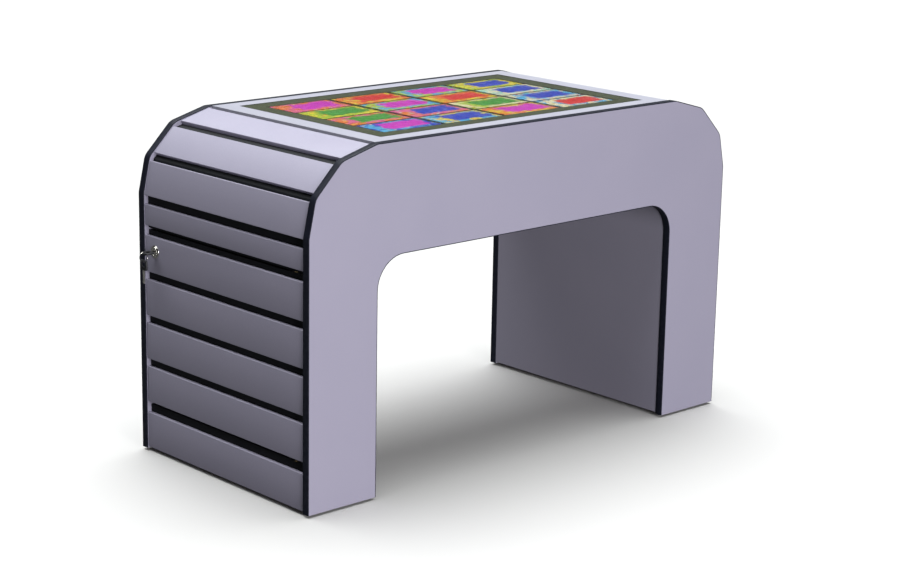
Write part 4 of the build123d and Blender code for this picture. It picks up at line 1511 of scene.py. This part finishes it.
@dataclass
class Fixings:
    """Pan-head screws with a cross recess."""

    head: float = 4 * MM
    rise: float = 2.5 * MM
    recess: float = 1.5 * MM
    slot: tuple[float, float] = (4.2 * MM, 0.9 * MM)
    rail_half: float = 15 * MM
    batten_half: float = 10 * MM
    rail_web: float = 2 * MM
    keeper_foot: tuple[float, float] = (19.5 * MM, 2.5 * MM)
    keeper_pitch: float = 8.5 * MM
    slat_rows: tuple[float, float] = (-22 * MM, 22 * MM)
    slat_shares: tuple[float, ...] = (0.08, 0.36, 0.64, 0.86)

    def screw(self) -> bpy.types.Mesh:
        """Screw head that faces +Z, seated at Z 0.

        Returns:
            The mesh.
        """
        r, h = self.head, self.rise
        dome = [
            (0.0, 0.0), (r, 0.0), (r, h * 0.35), (r * 0.92, h * 0.62), (r * 0.7, h * 0.88),
            (r * 0.4, h * 0.98), (0.0, h),
        ]
        bars = [
            moved(
                rounded_box((self.slot[turn], self.slot[1 - turn], 2 * self.recess), 0.15 * MM, 1),
                (0.0, 0.0, h),
            )
            for turn in (0, 1)
        ]
        return subtracted(turned(dome, 20), *bars)

    def build(self, bench: Bench) -> None:
        """Place the screws of the rails, the keeper and the door's slats.

        Args:
            bench: Where pieces go.
        """
        head = self.screw()
        rails, keeper = Span.of("display_rails"), Span.of("lock_keeper")
        web = rails.high.z - self.rail_web
        seats = [
            (x, y, web)
            for x in (rails.low.x + self.rail_half, rails.high.x - self.rail_half)
            for y in (rails.low.y + self.batten_half, rails.high.y - self.batten_half)
        ]
        foot_x, foot_y = keeper.low.x + self.keeper_foot[0], keeper.high.y - self.keeper_foot[1]
        foot = [(foot_x, foot_y, keeper.centre.z + dz) for dz in (-self.keeper_pitch, self.keeper_pitch)]
        made = combined(
            bench.copies(head, seats, DOWN, math.tau),
            bench.copies(head, foot, FORWARDS, math.tau),
        )
        bench.put("cabinet_screw_heads", made, Body.CABINET, ZINC, ["cabinet_screws"])
        board = Span.of("door_board")
        middles = [Span.of(f"door_slat_{number}").centre.z for number in SlattedEnds.door]
        columns = [board.low.y + share * board.size.y for share in self.slat_shares]
        places = [(board.high.x, y, z + dz) for z in middles for dz in self.slat_rows for y in columns]
        made = bench.copies(self.screw(), places, RIGHTWARDS, math.tau)
        bench.put("door_slat_screws", made, Body.DOOR, ZINC)


@dataclass
class TouchTop:
    """Flush top: laminate frame, sealed glass, printed border and a lit display of tiles."""

    screen: tuple[float, float] = (698.4 * MM, 392.9 * MM)
    tile_lift: float = 0.3 * MM
    column_gap: float = 15 * MM
    row_gap: float = 9 * MM

    def build(self, bench: Bench) -> None:
        """Dress the top and make the lit tiles.

        Args:
            bench: Where pieces go.
        """
        # The top gets the paler copy of the lilac laminate: painted light.
        bench.dress(TOP_LILAC_PAINTED_LIGHT, "top_panel")
        bench.dress(GLASS, "touch_glass")
        bench.dress(SEAL, "glass_seal")
        # The border's glow is painted light.
        bench.dress(PAINTED_GLOW_MASK, "screen_mask")
        bench.dress(SCREEN_GLASS, "display_panel")
        bench.dress(ZINC, "display_housing", "display_rails")
        count = len(TILE_ROWS)
        palettes = tuple(
            TILE_ROWS[count - 1 - row][column] for column in range(count) for row in range(count)
        )
        lit = LitTiles("Lit tiles", "screen", (0.3, 0.35, 0.5), palettes=palettes)
        panel = Span.of("display_panel")
        tiles = bench.grower.run(bench.grower.tiles, {
            "Length": self.screen[0], "Width": self.screen[1], "Columns": count, "Rows": count,
            "Column Gap": self.column_gap, "Row Gap": self.row_gap, "Thickness": self.tile_lift,
        })
        tiles.transform(
            Matrix.Translation((panel.centre.x, panel.centre.y, panel.high.z + self.tile_lift / 2))
        )
        bench.put("display_tiles", tiles, Body.CABINET, lit)


@dataclass
class Lining:
    """Inner walls, bent corners and underside of the arch, with the battens behind them."""

    thickness: float = 12 * MM
    lead_in: float = 0.2 * MM
    batten: float = 20 * MM
    ease: float = 0.8 * MM

    def corner(self, bench: Bench, node: str, side: Side) -> bpy.types.Mesh:
        """Quarter of bent ply.

        Args:
            bench: Where pieces go.
            node: Its CAD node.
            side: Its end of the table.

        Returns:
            The mesh.
        """
        span = Span.of(node)
        y = span.centre.y
        wall = span.high.x if side is Side.RIGHT else span.low.x
        wall -= side.value * self.thickness
        meet = span.low.x if side is Side.RIGHT else span.high.x
        top = span.high.z - self.thickness
        bend = top - span.low.z - self.lead_in
        path = polyline([(wall, y, span.low.z), (wall, y, top), (meet, y, top)], [0.0, bend, 0.0])
        depth = side.value * self.thickness
        half = span.size.y / 2
        return bench.swept(path, [(0.0, -half), (0.0, half), (depth, half), (depth, -half)], 32)

    def battens(self, bench: Bench) -> None:
        """Square battens under the top and in the legs' corners.

        Args:
            bench: Where pieces go.
        """
        whole = Span.of("support_battens")
        plate_top = Span.of("left_bottom_plate").high.z
        spring = Span.of("left_corner_liner").low.z
        half = self.batten / 2
        upper = [whole.low.y + half, whole.high.y - half]
        top_panel, housing = Span.of("top_panel"), Span.of("display_housing")
        length = top_panel.size.x - 2 * self.batten
        level = (top_panel.low.z + Span.of("display_rails").high.z) / 2
        depth = top_panel.low.z - Span.of("display_rails").high.z
        long_ones = [
            moved(rounded_box((length, self.batten, depth), self.ease, 2), (housing.centre.x, y, level))
            for y in upper
        ]
        bench.put("top_battens", combined(*long_ones), Body.CABINET, PINE, ["support_battens"])
        walls = Span.of("left_inner_wall").low.x, Span.of("right_inner_wall").high.x
        columns = [walls[0] - half, walls[1] + half, whole.high.x - half]
        height = spring - plate_top
        uprights = [
            moved(
                rounded_box((self.batten, self.batten, height), self.ease, 2), (x, y, plate_top + height / 2)
            )
            for x in columns for y in upper
        ]
        bench.put("leg_battens", combined(*uprights), Body.CABINET, PINE_UPRIGHT)

    def build(self, bench: Bench) -> None:
        """Dress the lining and make its bent corners.

        Args:
            bench: Where pieces go.
        """
        # The lining's darker copy of the lilac laminate is painted shade.
        bench.dress(LINING_PAINTED_SHADE, "left_inner_wall", "right_inner_wall", "underside_panel")
        for side, word in ((Side.LEFT, "left"), (Side.RIGHT, "right")):
            node = f"{word}_corner_liner"
            bench.put(f"{word}_bent_corner", self.corner(bench, node, side), Body.CABINET, LINING_PAINTED_SHADE, [node])
        self.battens(bench)


@dataclass
class Feet:
    """Eight screw-on glides under the bottom plates.

    The profile is in millimetres, and the inset from the plate in metres.
    """

    from_plate: tuple[float, float] = (30 * MM, 45 * MM)
    profile: tuple[tuple[float, float], ...] = (
        (0.0, 0.4), (6.0, 0.4), (7.0, 0.0), (12.6, 0.0), (14.2, 0.5), (15.0, 1.6), (15.0, 3.6), (14.4, 4.6),
        (11.5, 5.4), (10.8, 6.2), (10.8, 10.0), (0.0, 10.0),
    )

    def build(self, bench: Bench) -> None:
        """Make the glides.

        Args:
            bench: Where pieces go.
        """
        glide = turned([(r * MM, z * MM) for r, z in self.profile])
        places = []
        dx, dy = self.from_plate
        for node in ("left_bottom_plate", "right_bottom_plate"):
            plate_span = Span.of(node)
            for x in (plate_span.low.x + dx, plate_span.high.x - dx):
                places += [(x, plate_span.low.y + dy, 0.0), (x, plate_span.high.y - dy, 0.0)]
        bench.put(
            "glides", bench.copies(glide, places, UP), Body.CABINET, FOOT_PLASTIC,
            ["foot_glides"],
        )


@dataclass
class CamLock:
    """Cam lock of the door, and the keeper on the rear arch board.

    The bore, the plug, the barrel's end and the turned profiles are in millimetres, and the rest in metres.
    """

    bore: float = 6.05
    rosette: tuple[tuple[float, float], ...] = (
        (9.5, -3.0), (14.0, -3.0), (14.0, -2.3), (13.5, -1.5), (12.4, -1.0), (11.5, -0.95), (11.2, -1.25),
        (10.9, -1.25), (10.5, -0.45), (9.8, -0.05), (8.8, 0.0), (7.9, -0.25), (7.4, -0.9), (6.9, -1.0),
    )
    barrel_end: float = -36.0
    thread: tuple[float, float, float] = (9.45 * MM, 3.4 * MM, 0.32 * MM)
    nut: tuple[float, float] = (12.5 * MM, 4.0 * MM)
    nut_bore: float = 9.55 * MM
    plug: float = 6.0
    slot: tuple[float, float, float] = (7.8 * MM, 2.3 * MM, 50 * MM)
    shank: float = 6.0 * MM
    cam: tuple[float, float, float] = (14 * MM, 30 * MM, 2.5 * MM)
    keeper_bend: float = 3.0 * MM
    keeper_sheet: float = 2.5 * MM
    washer: tuple[tuple[float, float], ...] = ((0.0, 0.0), (5.5, 0.0), (5.8, 0.3), (5.5, 0.8), (0.0, 0.8))

    def on_axis(self, mesh: bpy.types.Mesh, inset: float = 0.0) -> bpy.types.Mesh:
        """Put a mesh on the lock's axis, its Z pointing out of the table.

        Args:
            mesh: The mesh, changed in place.
            inset: How far inside the table's end its origin goes.

        Returns:
            The same mesh.
        """
        barrel = Span.of("lock_barrel")
        return moved(
            mesh, (barrel.low.x + inset, barrel.centre.y, barrel.centre.z), LEFTWARDS, math.pi / 2
        )

    def barrel(self, bench: Bench) -> bpy.types.Mesh:
        """Barrel with its stepped rosette and a thread.

        Args:
            bench: Where pieces go.

        Returns:
            The mesh.
        """
        end = self.barrel_end
        loop = [
            (self.bore, end), (9.2, end), (9.5, end + 0.4), *self.rosette, (self.bore, -1.0),
            (self.bore, end),
        ]
        angles = [math.tau * k / 64 for k in range(64)]
        rings = [[(r * MM * math.cos(a), r * MM * math.sin(a), z * MM) for a in angles] for r, z in loop]
        body = tidy(from_rings(rings, closed=False), math.radians(28))
        radius, height, wire = self.thread
        coil = bench.grower.run(
            bench.grower.coil, {"Radius": radius, "Height": height, "Turns": 4.0, "Wire": wire}
        )
        coil.transform(Matrix.Translation((0.0, 0.0, (self.barrel_end + 0.3) * MM)))
        return self.on_axis(combined(body, tidy(coil)))

    def hex_nut(self) -> bpy.types.Mesh:
        """Nut behind the door board.

        Returns:
            The mesh.
        """
        radius, thickness = self.nut
        corners = [
            (radius * math.cos(math.tau * k / 6), radius * math.sin(math.tau * k / 6)) for k in range(6)
        ]
        hole = drum(self.nut_bore, -1 * MM, 6 * MM)
        nut = subtracted(plate(corners, thickness, 0.5 * MM), hole)
        return self.on_axis(nut, Span.of("door_board").high.x - Span.of("lock_barrel").low.x + thickness)

    def key_plug(self) -> bpy.types.Mesh:
        """Turning plug with its key slot and square shank.

        Returns:
            The mesh.
        """
        r = self.plug
        end = self.barrel_end
        face = [(0.0, end), (r, end), (r, 0.5), (r - 0.5, 1.0), (4.6, 1.0), (4.3, 0.75), (0.0, 0.75)]
        body = subtracted(turned([(x * MM, z * MM) for x, z in face]), rounded_box(self.slot, 0.2 * MM, 1))
        shank = rounded_box((self.shank, self.shank, 5 * MM), 0.3 * MM, 1)
        shank.transform(Matrix.Translation((0.0, 0.0, (self.barrel_end - 2.0) * MM)))
        return self.on_axis(combined(body, shank))

    def cam_plate(self) -> bpy.types.Mesh:
        """Cam with a round hub and a rounded tip.

        Returns:
            The mesh.
        """
        width, reach, thickness = self.cam
        half, corner = width / 2, width / 4
        hub = [(half * math.cos(math.pi * k / 16), half * math.sin(math.pi * k / 16)) for k in range(17)]
        near = corner * 0.3
        tip = [
            (-half, -reach + corner), (-half + near, -reach + near), (-half + corner, -reach),
            (half - corner, -reach), (half - near, -reach + near), (half, -reach + corner),
        ]
        blank = plate([*hub, *tip], thickness, 0.25 * MM)
        made = subtracted(blank, rounded_box((self.shank, self.shank, 4 * thickness), 0.3 * MM, 1))
        barrel = Span.of("lock_barrel").centre
        made.transform(standing((Span.of("lock_cam").low.x, barrel.y, barrel.z)))
        return made

    def keeper(self, bench: Bench) -> bpy.types.Mesh:
        """Bent steel angle behind which the cam turns.

        Args:
            bench: Where pieces go.

        Returns:
            The mesh.
        """
        span = Span.of("lock_keeper")
        sheet = self.keeper_sheet
        mid = sheet / 2
        x, y, z = span.low.x + mid, span.high.y - mid, span.centre.z
        path = polyline([(x, span.low.y, z), (x, y, z), (span.high.x, y, z)], [0.0, self.keeper_bend, 0.0])
        return bench.swept(path, rounded_rectangle(sheet, span.size.z, 0.3 * MM, 2))

    def build(self, bench: Bench) -> None:
        """Make the lock.

        Args:
            bench: Where pieces go.
        """
        bench.put("lock_body", self.barrel(bench), Body.DOOR, NICKEL, ["lock_barrel"])
        bench.put("lock_hex_nut", self.hex_nut(), Body.DOOR, NICKEL, ["lock_nut"])
        bench.put("lock_turning_plug", self.key_plug(), Body.LOCK, NICKEL, ["lock_plug"])
        bench.put("lock_cam_plate", self.cam_plate(), Body.LOCK, ZINC, ["lock_cam"])
        washer = turned([(r * MM, z * MM) for r, z in self.washer], 32)
        screw = Fixings(head=3.6 * MM, rise=2.2 * MM).screw()
        screw.transform(Matrix.Translation((0.0, 0.0, self.washer[-1][1] * MM)))
        barrel = Span.of("lock_barrel").centre
        place = (Span.of("lock_plug").high.x, barrel.y, barrel.z)
        bench.put("cam_screw", moved(combined(washer, screw), place, RIGHTWARDS), Body.LOCK, ZINC)
        bench.put("bent_keeper", self.keeper(bench), Body.CABINET, ZINC, ["lock_keeper"])


@dataclass
class KeySet:
    """Key in the lock, ring through its bow, and a second key on the ring.

    The depths of the blade's cuts are in millimetres, and the rest in metres.
    """

    bow: tuple[float, float, float] = (23 * MM, 24 * MM, 4 * MM)
    bow_bend: float = 5.5 * MM
    rim: float = 2.8 * MM
    slot: tuple[float, float] = (12.5 * MM, 13 * MM)
    blade: tuple[float, float] = (7.5 * MM, 2.0 * MM)
    cuts: tuple[float, ...] = (0.5, 1.6, 0.9, 2.1, 1.2, 0.4)
    ring: tuple[float, float] = (10.5 * MM, 0.42 * MM)
    ring_turns: float = 1.92
    ring_start: float = 2.2
    dent: tuple[float, float, float] = (4.6 * MM, 15 * MM, 2.2 * MM)
    dent_inset: float = 4.2 * MM
    dent_depth: float = 0.4 * MM
    root: float = 2 * MM
    cut_pitch: float = 3.0 * MM
    point: float = 2.5 * MM
    groove: tuple[float, float] = (1.1 * MM, 0.8 * MM)

    def key_bow(self) -> bpy.types.Mesh:
        """Bow in XY with its ring bar at the origin and its blade's root towards +X.

        Returns:
            The mesh.
        """
        length, width, thickness = self.bow
        outline = rounded_rectangle(length, width, self.bow_bend, 8)
        body = plate(outline, thickness, 0.9 * MM)
        body.transform(Matrix.Translation((0.0, 0.0, -thickness / 2)))
        hole = plate(rounded_rectangle(*self.slot, self.slot[0] / 3, 6), 3 * thickness)
        slot_mid = self.rim + self.slot[0] / 2 - length / 2
        hole.transform(Matrix.Translation((slot_mid, 0.0, -1.5 * thickness)))
        dent = plate(rounded_rectangle(*self.dent, 6), thickness)
        dents = [dent.copy() for _ in (0, 1)]
        for copy, z in zip(dents, (thickness / 2 - self.dent_depth, -1.5 * thickness + self.dent_depth)):
            copy.transform(Matrix.Translation((length / 2 - self.dent_inset, 0.0, z)))
        made = subtracted(body, hole, *dents)
        made.transform(Matrix.Translation((length / 2 - self.rim / 2, 0.0, 0.0)))
        return made

    def key_blade(self, length: float) -> bpy.types.Mesh:
        """Cut blade beyond the bow.

        Args:
            length: Its length from the bow.

        Returns:
            The mesh.
        """
        width, thickness = self.blade
        half = width / 2
        start = self.bow[0] - self.rim / 2 - self.root
        end = start + self.root + length
        first = end - self.point - self.cut_pitch * len(self.cuts)
        edge = [(start, half), (first - 1.5 * MM, half)]
        for number, deep in enumerate(self.cuts):
            x = first + self.cut_pitch * number
            edge += [(x, half - deep * MM), (x + 0.9 * MM, half - deep * MM), (x + 1.9 * MM, half - 0.3 * MM)]
        outline = [*edge, (end, 0.6 * MM), (end, -0.6 * MM), (end - self.point, -half), (start, -half)]
        body = plate([*reversed(outline)], thickness, 0.15 * MM)
        body.transform(Matrix.Translation((0.0, 0.0, -thickness / 2)))
        middle = (start + end) / 2 + 3 * MM
        grooves = [
            moved(rounded_box((length + 6 * MM, *self.groove), 0.1 * MM, 1), (middle, y, z))
            for y, z in ((-0.9 * MM, thickness / 2), (0.2 * MM, -thickness / 2))
        ]
        return subtracted(body, *grooves)

    def build(self, bench: Bench) -> None:
        """Make both keys and the ring.

        Args:
            bench: Where pieces go.
        """
        key, spare, ring = Span.of("lock_key"), Span.of("spare_key"), Span.of("key_ring")
        bar = self.rim / 2
        flat = Matrix.Translation((key.low.x + bar, key.centre.y, key.centre.z))
        down = Matrix(((0, 0, 1, 0), (0, 1, 0, 0), (-1, 0, 0, 0), (0, 0, 0, 1)))
        hanging = Matrix.Translation((spare.centre.x, spare.centre.y, spare.high.z - bar)) @ down
        bow = self.bow[0]
        for word, node, body, place, length in (
            ("key", "lock_key", Body.LOCK, flat, key.size.x - bow),
            ("spare_key", "spare_key", Body.SPARE, hanging, spare.size.z - bow),
        ):
            head, blade = self.key_bow(), self.key_blade(length)
            head.transform(place)
            blade.transform(place)
            bench.put(f"{word}_bow", head, body, BLACK_PLASTIC, [node])
            bench.put(f"{word}_blade", blade, body, NICKEL)
        radius, wire = self.ring
        coil = bench.grower.run(bench.grower.coil, {
            "Radius": radius, "Height": 2 * wire * self.ring_turns, "Turns": self.ring_turns, "Wire": wire,
            "Steps": 64,
        })
        coil.transform(Matrix.Translation((0.0, 0.0, -wire * self.ring_turns)))
        coil = moved(tidy(coil), ring.centre, BACKWARDS, self.ring_start)
        bench.put("split_ring", coil, Body.RING, NICKEL, ["key_ring"])


@dataclass(frozen=True)
class Port:
    """Port on the computer's side: height, hole, and shell where it has one, in millimetres."""

    height: float
    hole: tuple[float, float]
    shell: Optional[tuple[float, float]] = None


@dataclass
class PowerBay:
    """Computer, power strip, mains inlet and their cables, behind the door.

    The turned profiles, the ports and the places of sockets and pins are in millimetres.
    The rest is in metres.
    """

    cable: float = 3.5 * MM
    case_round: float = 12 * MM
    vent: tuple[float, float, float] = (6 * MM, 3.2 * MM, 26 * MM)
    vent_pitch: float = 9 * MM
    vent_rows: tuple[float, float] = (-30 * MM, 8 * MM)
    pocket: float = 4 * MM
    button: float = 7.5 * MM
    button_place: tuple[float, float] = (58 * MM, 20 * MM)
    button_cap: tuple[tuple[float, float], ...] = (
        (0.0, 0.0), (6.6, 0.0), (6.6, 2.8), (6.1, 3.4), (4.0, 3.6), (0.0, 3.3),
    )
    ports: tuple[Port, ...] = (
        Port(28, (13, 6), (12.4, 2.4)), Port(42, (13, 6), (12.4, 2.4)), Port(60, (15, 13), (11.0, 5.0)),
        Port(82, (15, 8), (12.0, 3.0)), Port(102, (9, 9)), Port(120, (9, 9)),
    )
    run_level: float = 532.5 * MM
    cable_bend: float = 35 * MM
    mains_bend: float = 18 * MM
    mains_drop: float = 55 * MM
    socket: tuple[float, float] = (17 * MM, 7 * MM)
    socket_places: tuple[float, ...] = (32, 78, 124, 170)
    pin_offset: float = 9.5
    bay: tuple[float, float, float] = (16 * MM, 26 * MM, 12 * MM)
    bay_inset: float = 28 * MM
    switch: tuple[float, float, float] = (12.4 * MM, 2.4 * MM, 14.8 * MM)
    tie: tuple[tuple[float, float], ...] = ((3.5, -1.6), (4.5, -1.6), (4.5, 1.6), (3.5, 1.6))
    tie_shares: tuple[float, ...] = (0.25, 0.5, 0.75)

    def computer(self, bench: Bench) -> None:
        """Small computer with vents, a power button, ports and feet.

        Args:
            bench: Where pieces go.
        """
        span = Span.of("mini_pc")
        case = rounded_box(span.size, self.case_round, 6, only=0)
        case.transform(Matrix.Translation(span.centre))
        slot = rounded_box(self.vent, 1.4 * MM, 2, only=0)
        face = span.low.x
        rows = [
            (face, span.centre.y + dy * self.vent_pitch, span.centre.z + dz)
            for dy in range(-5, 6) for dz in self.vent_rows
        ]
        case = bench.pierced(case, slot, rows)
        dy, dz = self.button_place
        place = (face + self.pocket, span.centre.y + dy, span.high.z - dz)
        case = subtracted(case, moved(drum(self.button, -1 * MM, 5 * MM), place, LEFTWARDS))
        holes = []
        shells = []
        for port in self.ports:
            z = span.low.z + port.height * MM
            width, height = port.hole
            hole = rounded_box((width * MM, 14 * MM, height * MM), 0.5 * MM, 1)
            holes.append(moved(hole, (span.centre.x, span.low.y, z)))
            if port.shell:
                width, height = port.shell
                shell = rounded_box((width * MM, 9 * MM, height * MM), 0.4 * MM, 1)
                shells.append(moved(shell, (span.centre.x, span.low.y + 6 * MM, z)))
        case = subtracted(case, *holes)
        bench.put("computer_case", case, Body.CABINET, BLACK_PLASTIC, ["mini_pc"])
        cap = turned([(r * MM, z * MM) for r, z in self.button_cap])
        bench.put("computer_button", moved(cap, place, LEFTWARDS), Body.CABINET, NICKEL)
        bench.put("computer_ports", combined(*shells), Body.CABINET, NICKEL)

    def strip(self, bench: Bench) -> None:
        """Power strip with round sockets and a rocker.

        Args:
            bench: Where pieces go.
        """
        span = Span.of("power_strip")
        radius, deep = self.socket
        body = rounded_box(span.size, 4 * MM, 4)
        body.transform(Matrix.Translation(span.centre))
        well = turned(
            [(0.0, -deep), (radius - 1 * MM, -deep), (radius, 0.0), (radius, deep), (0.0, deep)], 40
        )
        rows = [(span.centre.x, span.low.y + place * MM, span.high.z) for place in self.socket_places]
        body = bench.pierced(body, well, rows)
        sides = (-self.pin_offset, self.pin_offset)
        pins = [(x + dx * MM, y, z - deep) for x, y, z in rows for dx in sides]
        body = bench.pierced(body, drum(2.5 * MM, -12 * MM, 2 * MM, 16), pins)
        bay_y = span.high.y - self.bay_inset
        bay = rounded_box(self.bay, 0.6 * MM, 2)
        body = subtracted(body, moved(bay, (span.centre.x, bay_y, span.high.z)))
        bench.put("strip_body", body, Body.CABINET, BLACK_PLASTIC, ["power_strip"])
        half, rise, width = self.switch
        crest = [
            (-half, -4 * MM), (half, -4 * MM), (half, -0.4 * MM), (half - 1 * MM, 0.2 * MM), (0.0, -1.2 * MM),
            (1 * MM - half, rise), (-half, rise - 0.8 * MM),
        ]
        switch = plate(crest, width, 0.4 * MM)
        switch.transform(standing((span.centre.x - width / 2, bay_y, span.high.z)))
        bench.put("strip_switch", switch, Body.CABINET, RED)
        springs = bench.copies(drum(2.0 * MM, -11 * MM, -2 * MM, 12), pins, UP)
        bench.put("strip_contacts", springs, Body.CABINET, BRASS)

    def boot(self, place: Point, way: Point) -> bpy.types.Mesh:
        """Ribbed strain relief at a cable's end.

        Args:
            place: Where it meets the housing.
            way: The way that the cable leaves.

        Returns:
            The mesh.
        """
        profile = [(0.0, 0.0), (7.0, 0.0), (7.0, 5.0)]
        for k in range(5):
            z, r = 5.5 + 4.0 * k, 6.4 - 0.55 * k
            profile += [(r, z), (r, z + 2.2), (r - 0.9, z + 2.6), (r - 0.9, z + 3.6)]
        profile += [(3.9, 26.0), (0.0, 26.0)]
        return moved(turned([(r * MM, z * MM) for r, z in profile], 28), place, way)

    def cables(self, bench: Bench) -> None:
        """Fixed display and mains leads with strain reliefs and ties.

        Args:
            bench: Where pieces go.
        """
        wire = rounded_rectangle(2 * self.cable, 2 * self.cable, self.cable * 0.999, 4)
        span, computer = Span.of("display_cable"), Span.of("mini_pc")
        x0, x1, y = computer.centre.x, span.high.x - self.cable, span.centre.y
        route = [(x0, y, span.low.z), (x0, y, self.run_level), (x1, y, self.run_level), (x1, y, span.high.z)]
        lead = bench.swept(polyline(route, [0.0, self.cable_bend, self.cable_bend, 0.0]), wire, 14)
        bench.put("display_lead", lead, Body.CABINET, CABLE, ["display_cable"])
        tie = turned([(r * MM, z * MM) for r, z in self.tie], 24)
        held = [(x0 + share * (x1 - x0), y, self.run_level) for share in self.tie_shares]
        ties = bench.copies(tie, held, RIGHTWARDS)
        ends = [self.boot(route[0], UP), self.boot(route[-1], DOWN)]
        mains, strip = Span.of("mains_cable"), Span.of("power_strip")
        xs, level = strip.centre.x, strip.low.z + strip.size.z / 2
        top, back = mains.high.z - self.cable, mains.high.y - self.cable
        turn = [
            (mains.high.x, back, top), (xs, back, top),
            (xs, back - self.mains_drop, level), (xs, strip.high.y, level),
        ]
        supply = bench.swept(polyline(turn, [0.0, self.mains_bend, self.mains_bend, 0.0]), wire, 14)
        bench.put("mains_lead", supply, Body.CABINET, CABLE, ["mains_cable"])
        ends.append(self.boot(turn[-1], BACKWARDS))
        bench.put("lead_ends", combined(ties, *ends), Body.CABINET, BLACK_PLASTIC)

    def build(self, bench: Bench) -> None:
        """Make the bay.

        Args:
            bench: Where pieces go.
        """
        self.computer(bench)
        self.strip(bench)
        self.cables(bench)
        bench.dress(BLACK_PLASTIC, "power_inlet")
        bench.dress(RED, "inlet_rocker")


# ---- studio ----------------------------------------------------------------------------------------
@dataclass(frozen=True)
class StudioFloor(Finish):
    """Pale seamless paper, which throws back little light."""

    bounce: Colour = (0.05, 0.05, 0.05)

    def paint(self, nodes: Nodes, shader: bpy.types.Node) -> None:
        """Feed the shader.

        Args:
            nodes: The material's nodes.
            shader: Its Principled BSDF.
        """
        seen = nodes.add("ShaderNodeLightPath").outputs["Is Camera Ray"]
        nodes.feed(shader.inputs["Base Color"], nodes.blend(seen, rgba(self.bounce), rgba(self.colour)))
        shader.inputs["Roughness"].default_value = 0.9
        shader.inputs["Specular IOR Level"].default_value = 0.0


@dataclass(frozen=True)
class Sun:
    """One broad, even light."""

    name: str
    towards: tuple[float, float, float]
    strength: float
    spread: float
    colour: Colour = (1.0, 1.0, 1.0)


@dataclass(frozen=True)
class SoftBox:
    """One square lamp."""

    name: str
    place: tuple[float, float, float]
    aim: tuple[float, float, float]
    side: float
    power: float


@dataclass
class Studio:
    """Pale floor, soft light and the camera."""

    place: tuple[float, float, float] = (-3.1901, -3.4951, 1.5314)
    yaw: float = 42.799
    down: float = 14.264
    roll: float = 1.074
    lens: float = 86.36
    floor_size: float = 60.0
    floor_depth: float = 0.02
    paper: StudioFloor = StudioFloor("Studio paper", "", (0.43, 0.42, 0.423))
    suns: tuple[Sun, ...] = (Sun("Overhead", (0.1, 0.2, 0.97), 7.9, 70.0, (0.965, 1.0, 0.985)),)
    boxes: tuple[SoftBox, ...] = (SoftBox("Front", (-1.3, -5.5, 1.0), (0.0, -0.29, 0.4), 2.2, 410.0),)
    room: float = 0.08
    glossy_room: float = 0.05

    def floor(self) -> None:
        """Plain pale floor."""
        size = self.floor_size
        mesh = plate([(-size, -size), (size, -size), (size, size), (-size, size)], self.floor_depth)
        mesh.transform(Matrix.Translation((0.0, 0.0, -self.floor_depth)))
        floor = bpy.data.objects.new("studio_floor", mesh)
        bpy.context.scene.collection.objects.link(floor)
        mesh.materials.append(self.paper.material())

    def light(self) -> None:
        """Broad sun, soft box and an even room."""
        for lamp in (*self.suns, *self.boxes):
            data = bpy.data.lights.new(lamp.name, "SUN" if isinstance(lamp, Sun) else "AREA")
            holder = bpy.data.objects.new(lamp.name, data)
            if isinstance(lamp, Sun):
                data.energy = lamp.strength
                data.angle = math.radians(lamp.spread)
                data.color = lamp.colour
                back = Vector(lamp.towards)
            else:
                data.energy = lamp.power
                data.size = lamp.side
                holder.location = lamp.place
                back = Vector(lamp.place) - Vector(lamp.aim)
            holder.rotation_euler = back.to_track_quat("Z", "Y").to_euler()
            bpy.context.scene.collection.objects.link(holder)
        world = bpy.data.worlds.new("Room")
        bpy.context.scene.world = world
        world.use_nodes = True
        nodes = Nodes(world.node_tree)
        backdrop = world.node_tree.nodes["Background"]
        path = nodes.add("ShaderNodeLightPath")
        even = nodes.spread(path.outputs["Is Glossy Ray"], 0.0, 1.0, self.room, self.glossy_room)
        nodes.feed(backdrop.inputs["Strength"], nodes.maths("MAXIMUM", even, path.outputs["Is Camera Ray"]))
        backdrop.inputs["Color"].default_value = rgba((1.0, 1.0, 1.0))
        bpy.context.scene.view_settings.view_transform = "Standard"

    def camera(self) -> None:
        """Camera at the viewing angle."""
        data = bpy.data.cameras.new("camera")
        data.lens = self.lens
        data.clip_end = 300.0
        camera = bpy.data.objects.new("camera", data)
        turn = Matrix.Rotation(-math.radians(self.yaw), 4, "Z")
        tilt = Matrix.Rotation(math.radians(90 - self.down), 4, "X")
        roll = Matrix.Rotation(math.radians(self.roll), 4, "Z")
        camera.matrix_world = Matrix.Translation(self.place) @ turn @ tilt @ roll
        bpy.context.scene.collection.objects.link(camera)
        bpy.context.scene.camera = camera

    def build(self) -> None:
        """Set the studio up."""
        self.floor()
        self.light()
        self.camera()


@dataclass
class DoorLeaf:
    """Door board with its pivots."""

    def build(self, bench: Bench) -> None:
        """Dress the board and the pivots.

        Args:
            bench: Where pieces go.
        """
        bench.dress(BLACK_BOARD, "door_board")
        bench.dress(BLACKENED, "pivot_plates")
        bench.dress(BRASS, "pivot_bushes")


def main() -> None:
    """Build the table in order."""
    logging.basicConfig(level=logging.INFO, format="%(name)s: %(message)s")
    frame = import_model()
    bench = Bench(frame["nodes"], Grower())
    parts = (
        ArchCarcass(), SlattedEnds(), TouchTop(), Lining(), Feet(), DoorLeaf(), CamLock(), KeySet(),
        Fixings(),
        PowerBay(),
    )
    for part in parts:
        LOG.info("building %s", type(part).__name__)
        part.build(bench)
    Studio().build()


if __name__ == "__main__":
    main()
